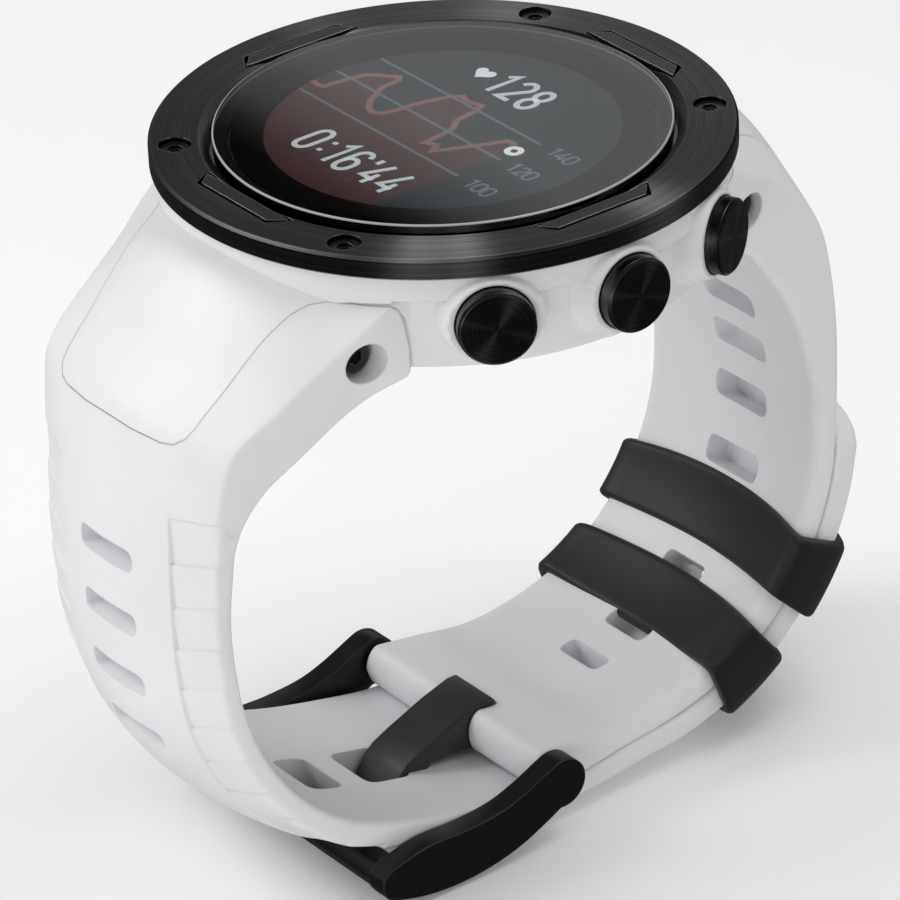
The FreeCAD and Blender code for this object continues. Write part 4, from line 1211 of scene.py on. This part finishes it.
look = {
    "glass": cover_glass_material(),
    "case": moulded("case_white_look", (0.80, 0.81, 0.825), 0.42, 0.10, 0.18, 0.18),
    "strap": moulded("strap_white_look", (0.80, 0.81, 0.825), 0.5, 0.16, 0.25, 0.22, soft=0.12),
    "keeper": moulded("keeper_black_look", (0.012, 0.012, 0.0125), 0.5, 0.14, 0.3, 0.2, sheen=0.08),
    # the buckle's second colour is its painted edge highlight
    "buckle": coated_metal("buckle_black_look", (0.018, 0.018, 0.019), 0.38,
                           (0.12, 0.12, 0.125), 0.25, 0.6),
    "tongue": moulded("tongue_black_look", (0.028, 0.028, 0.03), 0.42, 0.12, 0.25, 0.25),
    "print_pale": lit_print("print_pale_look", (0.48, 0.53, 0.55), 1.0),
    "print_dim": lit_print("print_dim_look", (0.10, 0.135, 0.155), 1.0),
    "print_line": lit_print("print_line_look", (0.085, 0.11, 0.12), 1.0),
    "print_white": lit_print("print_white_look", (0.68, 0.7, 0.72), 1.0),
    "print_red": lit_print("print_red_look", (0.17, 0.085, 0.08), 1.0),
    "print_fill": lit_print("print_fill_look", (0.047, 0.020, 0.020), 1.0, 0.35),
    "print_glow": lit_print("print_glow_look", (0.014, 0.021, 0.024), 1.0, 0.25),
}


# sectors of painted highlight in the brushed metal's colour: angle, half width and gain
BEZEL_PAINTED_GLINTS = [(-42.5, 5.5, 7.0), (-33.0, 5.0, 7.0), (10.0, 7.0, 5.0), (128.0, 9.0, 2.0),
                (172.0, 8.0, 1.5)]
PUSHER_PAINTED_GLINTS = [(62.0, 14.0, 1.6), (242.0, 16.0, 1.3), (160.0, 9.0, 1.2), (-20.0, 8.0, 0.9)]


def dress_cad_nodes():
    """Materials for every CAD node that stays in view or inside the case."""
    for node in nodes.values():
        settle_normals(node)
    for name, azimuth in PUSHER_AZIMUTHS.items():
        give(nodes[f"pusher_{name}"], turned_metal(
            f"pusher_{name}_look", (0.055, 0.055, 0.058), (*polar(20, azimuth), PUSHER_HEIGHT),
            (*polar(1, azimuth), 0), PUSHER_PAINTED_GLINTS, 0.28, 9500.0, 0.1, 0.08))
    bezel = turned_metal("bezel_look", (0.058, 0.058, 0.061), (0, 0, 0), (0, 0, 1), BEZEL_PAINTED_GLINTS,
                         0.30, 6800.0, 0.10)
    # each coated metal's second colour is its painted edge highlight
    insert = coated_metal("insert_look", (0.04, 0.04, 0.041), 0.3, (0.5, 0.5, 0.5), 0.12, 0.8)
    screw = coated_metal("screw_look", (0.06, 0.06, 0.062), 0.3, (0.3, 0.3, 0.3), 0.08, 0.9)
    steel = coated_metal("steel_look", (0.5, 0.5, 0.51), 0.3, (0.7, 0.7, 0.7), 0.05, 1.0)
    pin = coated_metal("pin_look", (0.08, 0.08, 0.085), 0.3, (0.3, 0.3, 0.3), 0.1, 1.0)
    brass = coated_metal("antenna_look", (0.5, 0.38, 0.16), 0.35, None, 0.05, 1)
    module = coated_metal("module_look", (0.5, 0.5, 0.52), 0.4, None, 0.1, 1)
    foil = coated_metal("battery_look", (0.55, 0.55, 0.57), 0.4, None, 0.3, 1)
    mask = moulded("mask_look", (0.004, 0.004, 0.0045), 0.3, 0.2, 0.05)
    panel = moulded("panel_look", (0.012, 0.014, 0.016), 0.35, 0.05, 0.1)
    rubber = moulded("seal_look", (0.02, 0.02, 0.02), 0.6)
    back = moulded("back_look", (0.03, 0.03, 0.032), 0.45, 0.15, 0.5, 0.15)
    sensor = moulded("sensor_look", (0.006, 0.006, 0.008), 0.12, 0.4, 0.02)
    board = moulded("board_look", (0.01, 0.09, 0.04), 0.35, 0.3, 0.2)
    chip = moulded("chip_look", (0.02, 0.02, 0.02), 0.5, 0.1, 0.4)
    flex = moulded("flex_look", (0.35, 0.16, 0.03), 0.35)
    epoxy = moulded("light_look", (0.5, 0.6, 0.45), 0.2)
    steel_nodes = ["case_back_screws", "pusher_springs", "lug_bars", "board_shield",
                   "vibration_motor", "vibration_weight", "charging_contacts"]
    steel_nodes += [f"pusher_clip_{name}" for name in PUSHER_AZIMUTHS]
    dressed = [
        (bezel, ["bezel"]), (insert, ["bezel_inserts"]), (screw, ["bezel_screws", "lug_screws"]),
        (steel, steel_nodes), (pin, ["buckle_pin"]), (brass, ["antenna_ring"]),
        (module, ["display_module"]), (foil, ["battery"]), (mask, ["display_mask"]),
        (panel, ["display_panel"]), (rubber, ["lens_gasket", "case_back_gasket", "pusher_seals"]),
        (back, ["case_back"]), (sensor, ["sensor_window"]), (epoxy, ["sensor_lights"]),
        (board, ["main_board", "sensor_board"]), (chip, ["board_chips", "pusher_switches"]),
        (flex, ["display_flex", "sensor_flex"]),
    ]
    for material, names in dressed:
        for name in names:
            give(nodes[name], material)


# ---------------------------------------------------------------- stage, light and camera

def make_floor():
    """A pale sheet that the strap's lowest point all but touches."""
    reach = 900.0
    floor = grid("floor", 24, lambda across, along: (reach * across, reach * along,
                                                     FLOOR_HEIGHT - 0.05))
    pale = moulded("floor_look", (0.92, 0.92, 0.92), 0.8, 2.0, 0.02, 0.1, mottle=0.002)
    surface = pale.node_tree.nodes["Principled BSDF"]
    surface.inputs["Emission Color"].default_value = (1, 1, 1, 1)
    surface.inputs["Emission Strength"].default_value = 0.10
    give(floor, pale)
    floor.visible_glossy = False


def area_light(name, place_mm, target_mm, size_mm, power):
    data = bpy.data.lights.new(name, "AREA")
    data.shape = "RECTANGLE"
    data.size = size_mm[0] * MM
    data.size_y = size_mm[1] * MM
    data.energy = power
    lamp = bpy.data.objects.new(name, data)
    scene.collection.objects.link(lamp)
    place = Vector(place_mm) * MM
    lamp.location = place
    lamp.rotation_euler = (Vector(target_mm) * MM - place).to_track_quat("-Z", "Y").to_euler()
    lamp.visible_transmission = False


def make_world():
    """White to the eye, softer as a light, and mostly dark in reflections and glass."""
    world = bpy.data.worlds.new("studio")
    scene.world = world
    world.use_nodes = True
    tree = world.node_tree
    background = tree.nodes["Background"]
    path = tree.nodes.new("ShaderNodeLightPath")

    def either(choice, yes, no):
        mix = tree.nodes.new("ShaderNodeMix")
        tree.links.new(choice, mix.inputs["Factor"])
        mix.inputs["B"].default_value = yes
        if isinstance(no, bpy.types.NodeSocket):
            tree.links.new(no, mix.inputs["A"])
        else:
            mix.inputs["A"].default_value = no
        return mix.outputs["Result"]

    clear = either(path.outputs["Is Transmission Ray"], 0.01, 0.08)
    soft = either(path.outputs["Is Diffuse Ray"], 0.50, clear)
    tree.links.new(either(path.outputs["Is Camera Ray"], 1.0, soft), background.inputs["Strength"])
    background.inputs["Color"].default_value = (1, 1, 1, 1)


def view_axes():
    """The camera's way ahead and its right-hand side, from its turn, tilt and roll."""
    turn, tilt, roll = (math.radians(angle) for angle in (144.02, -28.96, -2.65))
    ahead = Vector((math.cos(turn) * math.cos(tilt), math.sin(turn) * math.cos(tilt),
                    math.sin(tilt)))
    level = Vector((ahead.y, -ahead.x, 0)).normalized()
    return ahead, level * math.cos(roll) + level.cross(ahead) * math.sin(roll)


def make_reflection_card():
    """A card seen only in the glass: grey at its far end, fading to black towards the wearer."""
    ahead, side = view_axes()
    ahead.z = -ahead.z
    side = Vector((side.x, side.y, 0)).normalized()
    up = ahead.cross(side)
    up = up if up.z > 0 else -up
    centre = Vector((0, 0, RIM)) + ahead * 300
    reach = 150
    card = grid("reflection_card", 8, lambda across, along: (
        centre + side * (reach * across) + up * (reach * along)))
    paint = Paint("reflection_card_look")
    fade_way = side * 0.53 - up * 0.85
    fade_length = 60
    fade = paint.vector("DOT_PRODUCT", paint.vector("SUBTRACT", paint.where, tuple(centre * MM)),
                        tuple(fade_way / MM))
    level = paint.ramp(paint.math("MULTIPLY_ADD", fade, 1 / fade_length), (0.463, 0.0),
                       (0.51, 0.13), (0.573, 0.5), (0.70, 1.0))
    shine = paint.add("ShaderNodeEmission")
    paint.link(level, shine.inputs["Color"])
    shine.inputs["Strength"].default_value = 0.65
    paint.link(shine.outputs["Emission"], paint.output.inputs["Surface"])
    give(card, paint.material)
    card.visible_camera = False
    card.visible_diffuse = False
    card.visible_transmission = False
    card.visible_shadow = False


def make_lights():
    make_world()
    make_reflection_card()
    area_light("key", (-180, -260, 260), (0, 0, -10), (220, 220), 0.68)
    area_light("top", (60, 120, 320), (0, 0, 0), (240, 160), 0.35)
    area_light("fill", (190, -330, 10), (0, 10, -20), (160, 160), 0.22)


def make_camera():
    """The camera that looks down on the 4 to 5 o'clock side."""
    ahead, right = view_axes()
    place = Vector((367.27, -267.4, 237.1)) * MM
    data = bpy.data.cameras.new("camera")
    data.sensor_width = 36.0
    data.lens = 260.0
    data.clip_start = 0.01
    data.clip_end = 10.0
    camera = bpy.data.objects.new("camera", data)
    scene.collection.objects.link(camera)
    rotation = Matrix((right, right.cross(ahead), -ahead)).transposed().to_4x4()
    camera.matrix_world = Matrix.Translation(place) @ rotation
    scene.camera = camera


# ---------------------------------------------------------------- build

make_case()
make_hole_strap()
make_buckle_strap()
make_keeper("keeper_upper", -28.0, -44.0)
make_keeper("keeper_lower", -53.0, -69.0)
make_buckle()
make_tongue()
make_lens()
make_display()
dress_cad_nodes()
make_floor()
make_lights()
make_camera()
scene.view_settings.view_transform = "Standard"
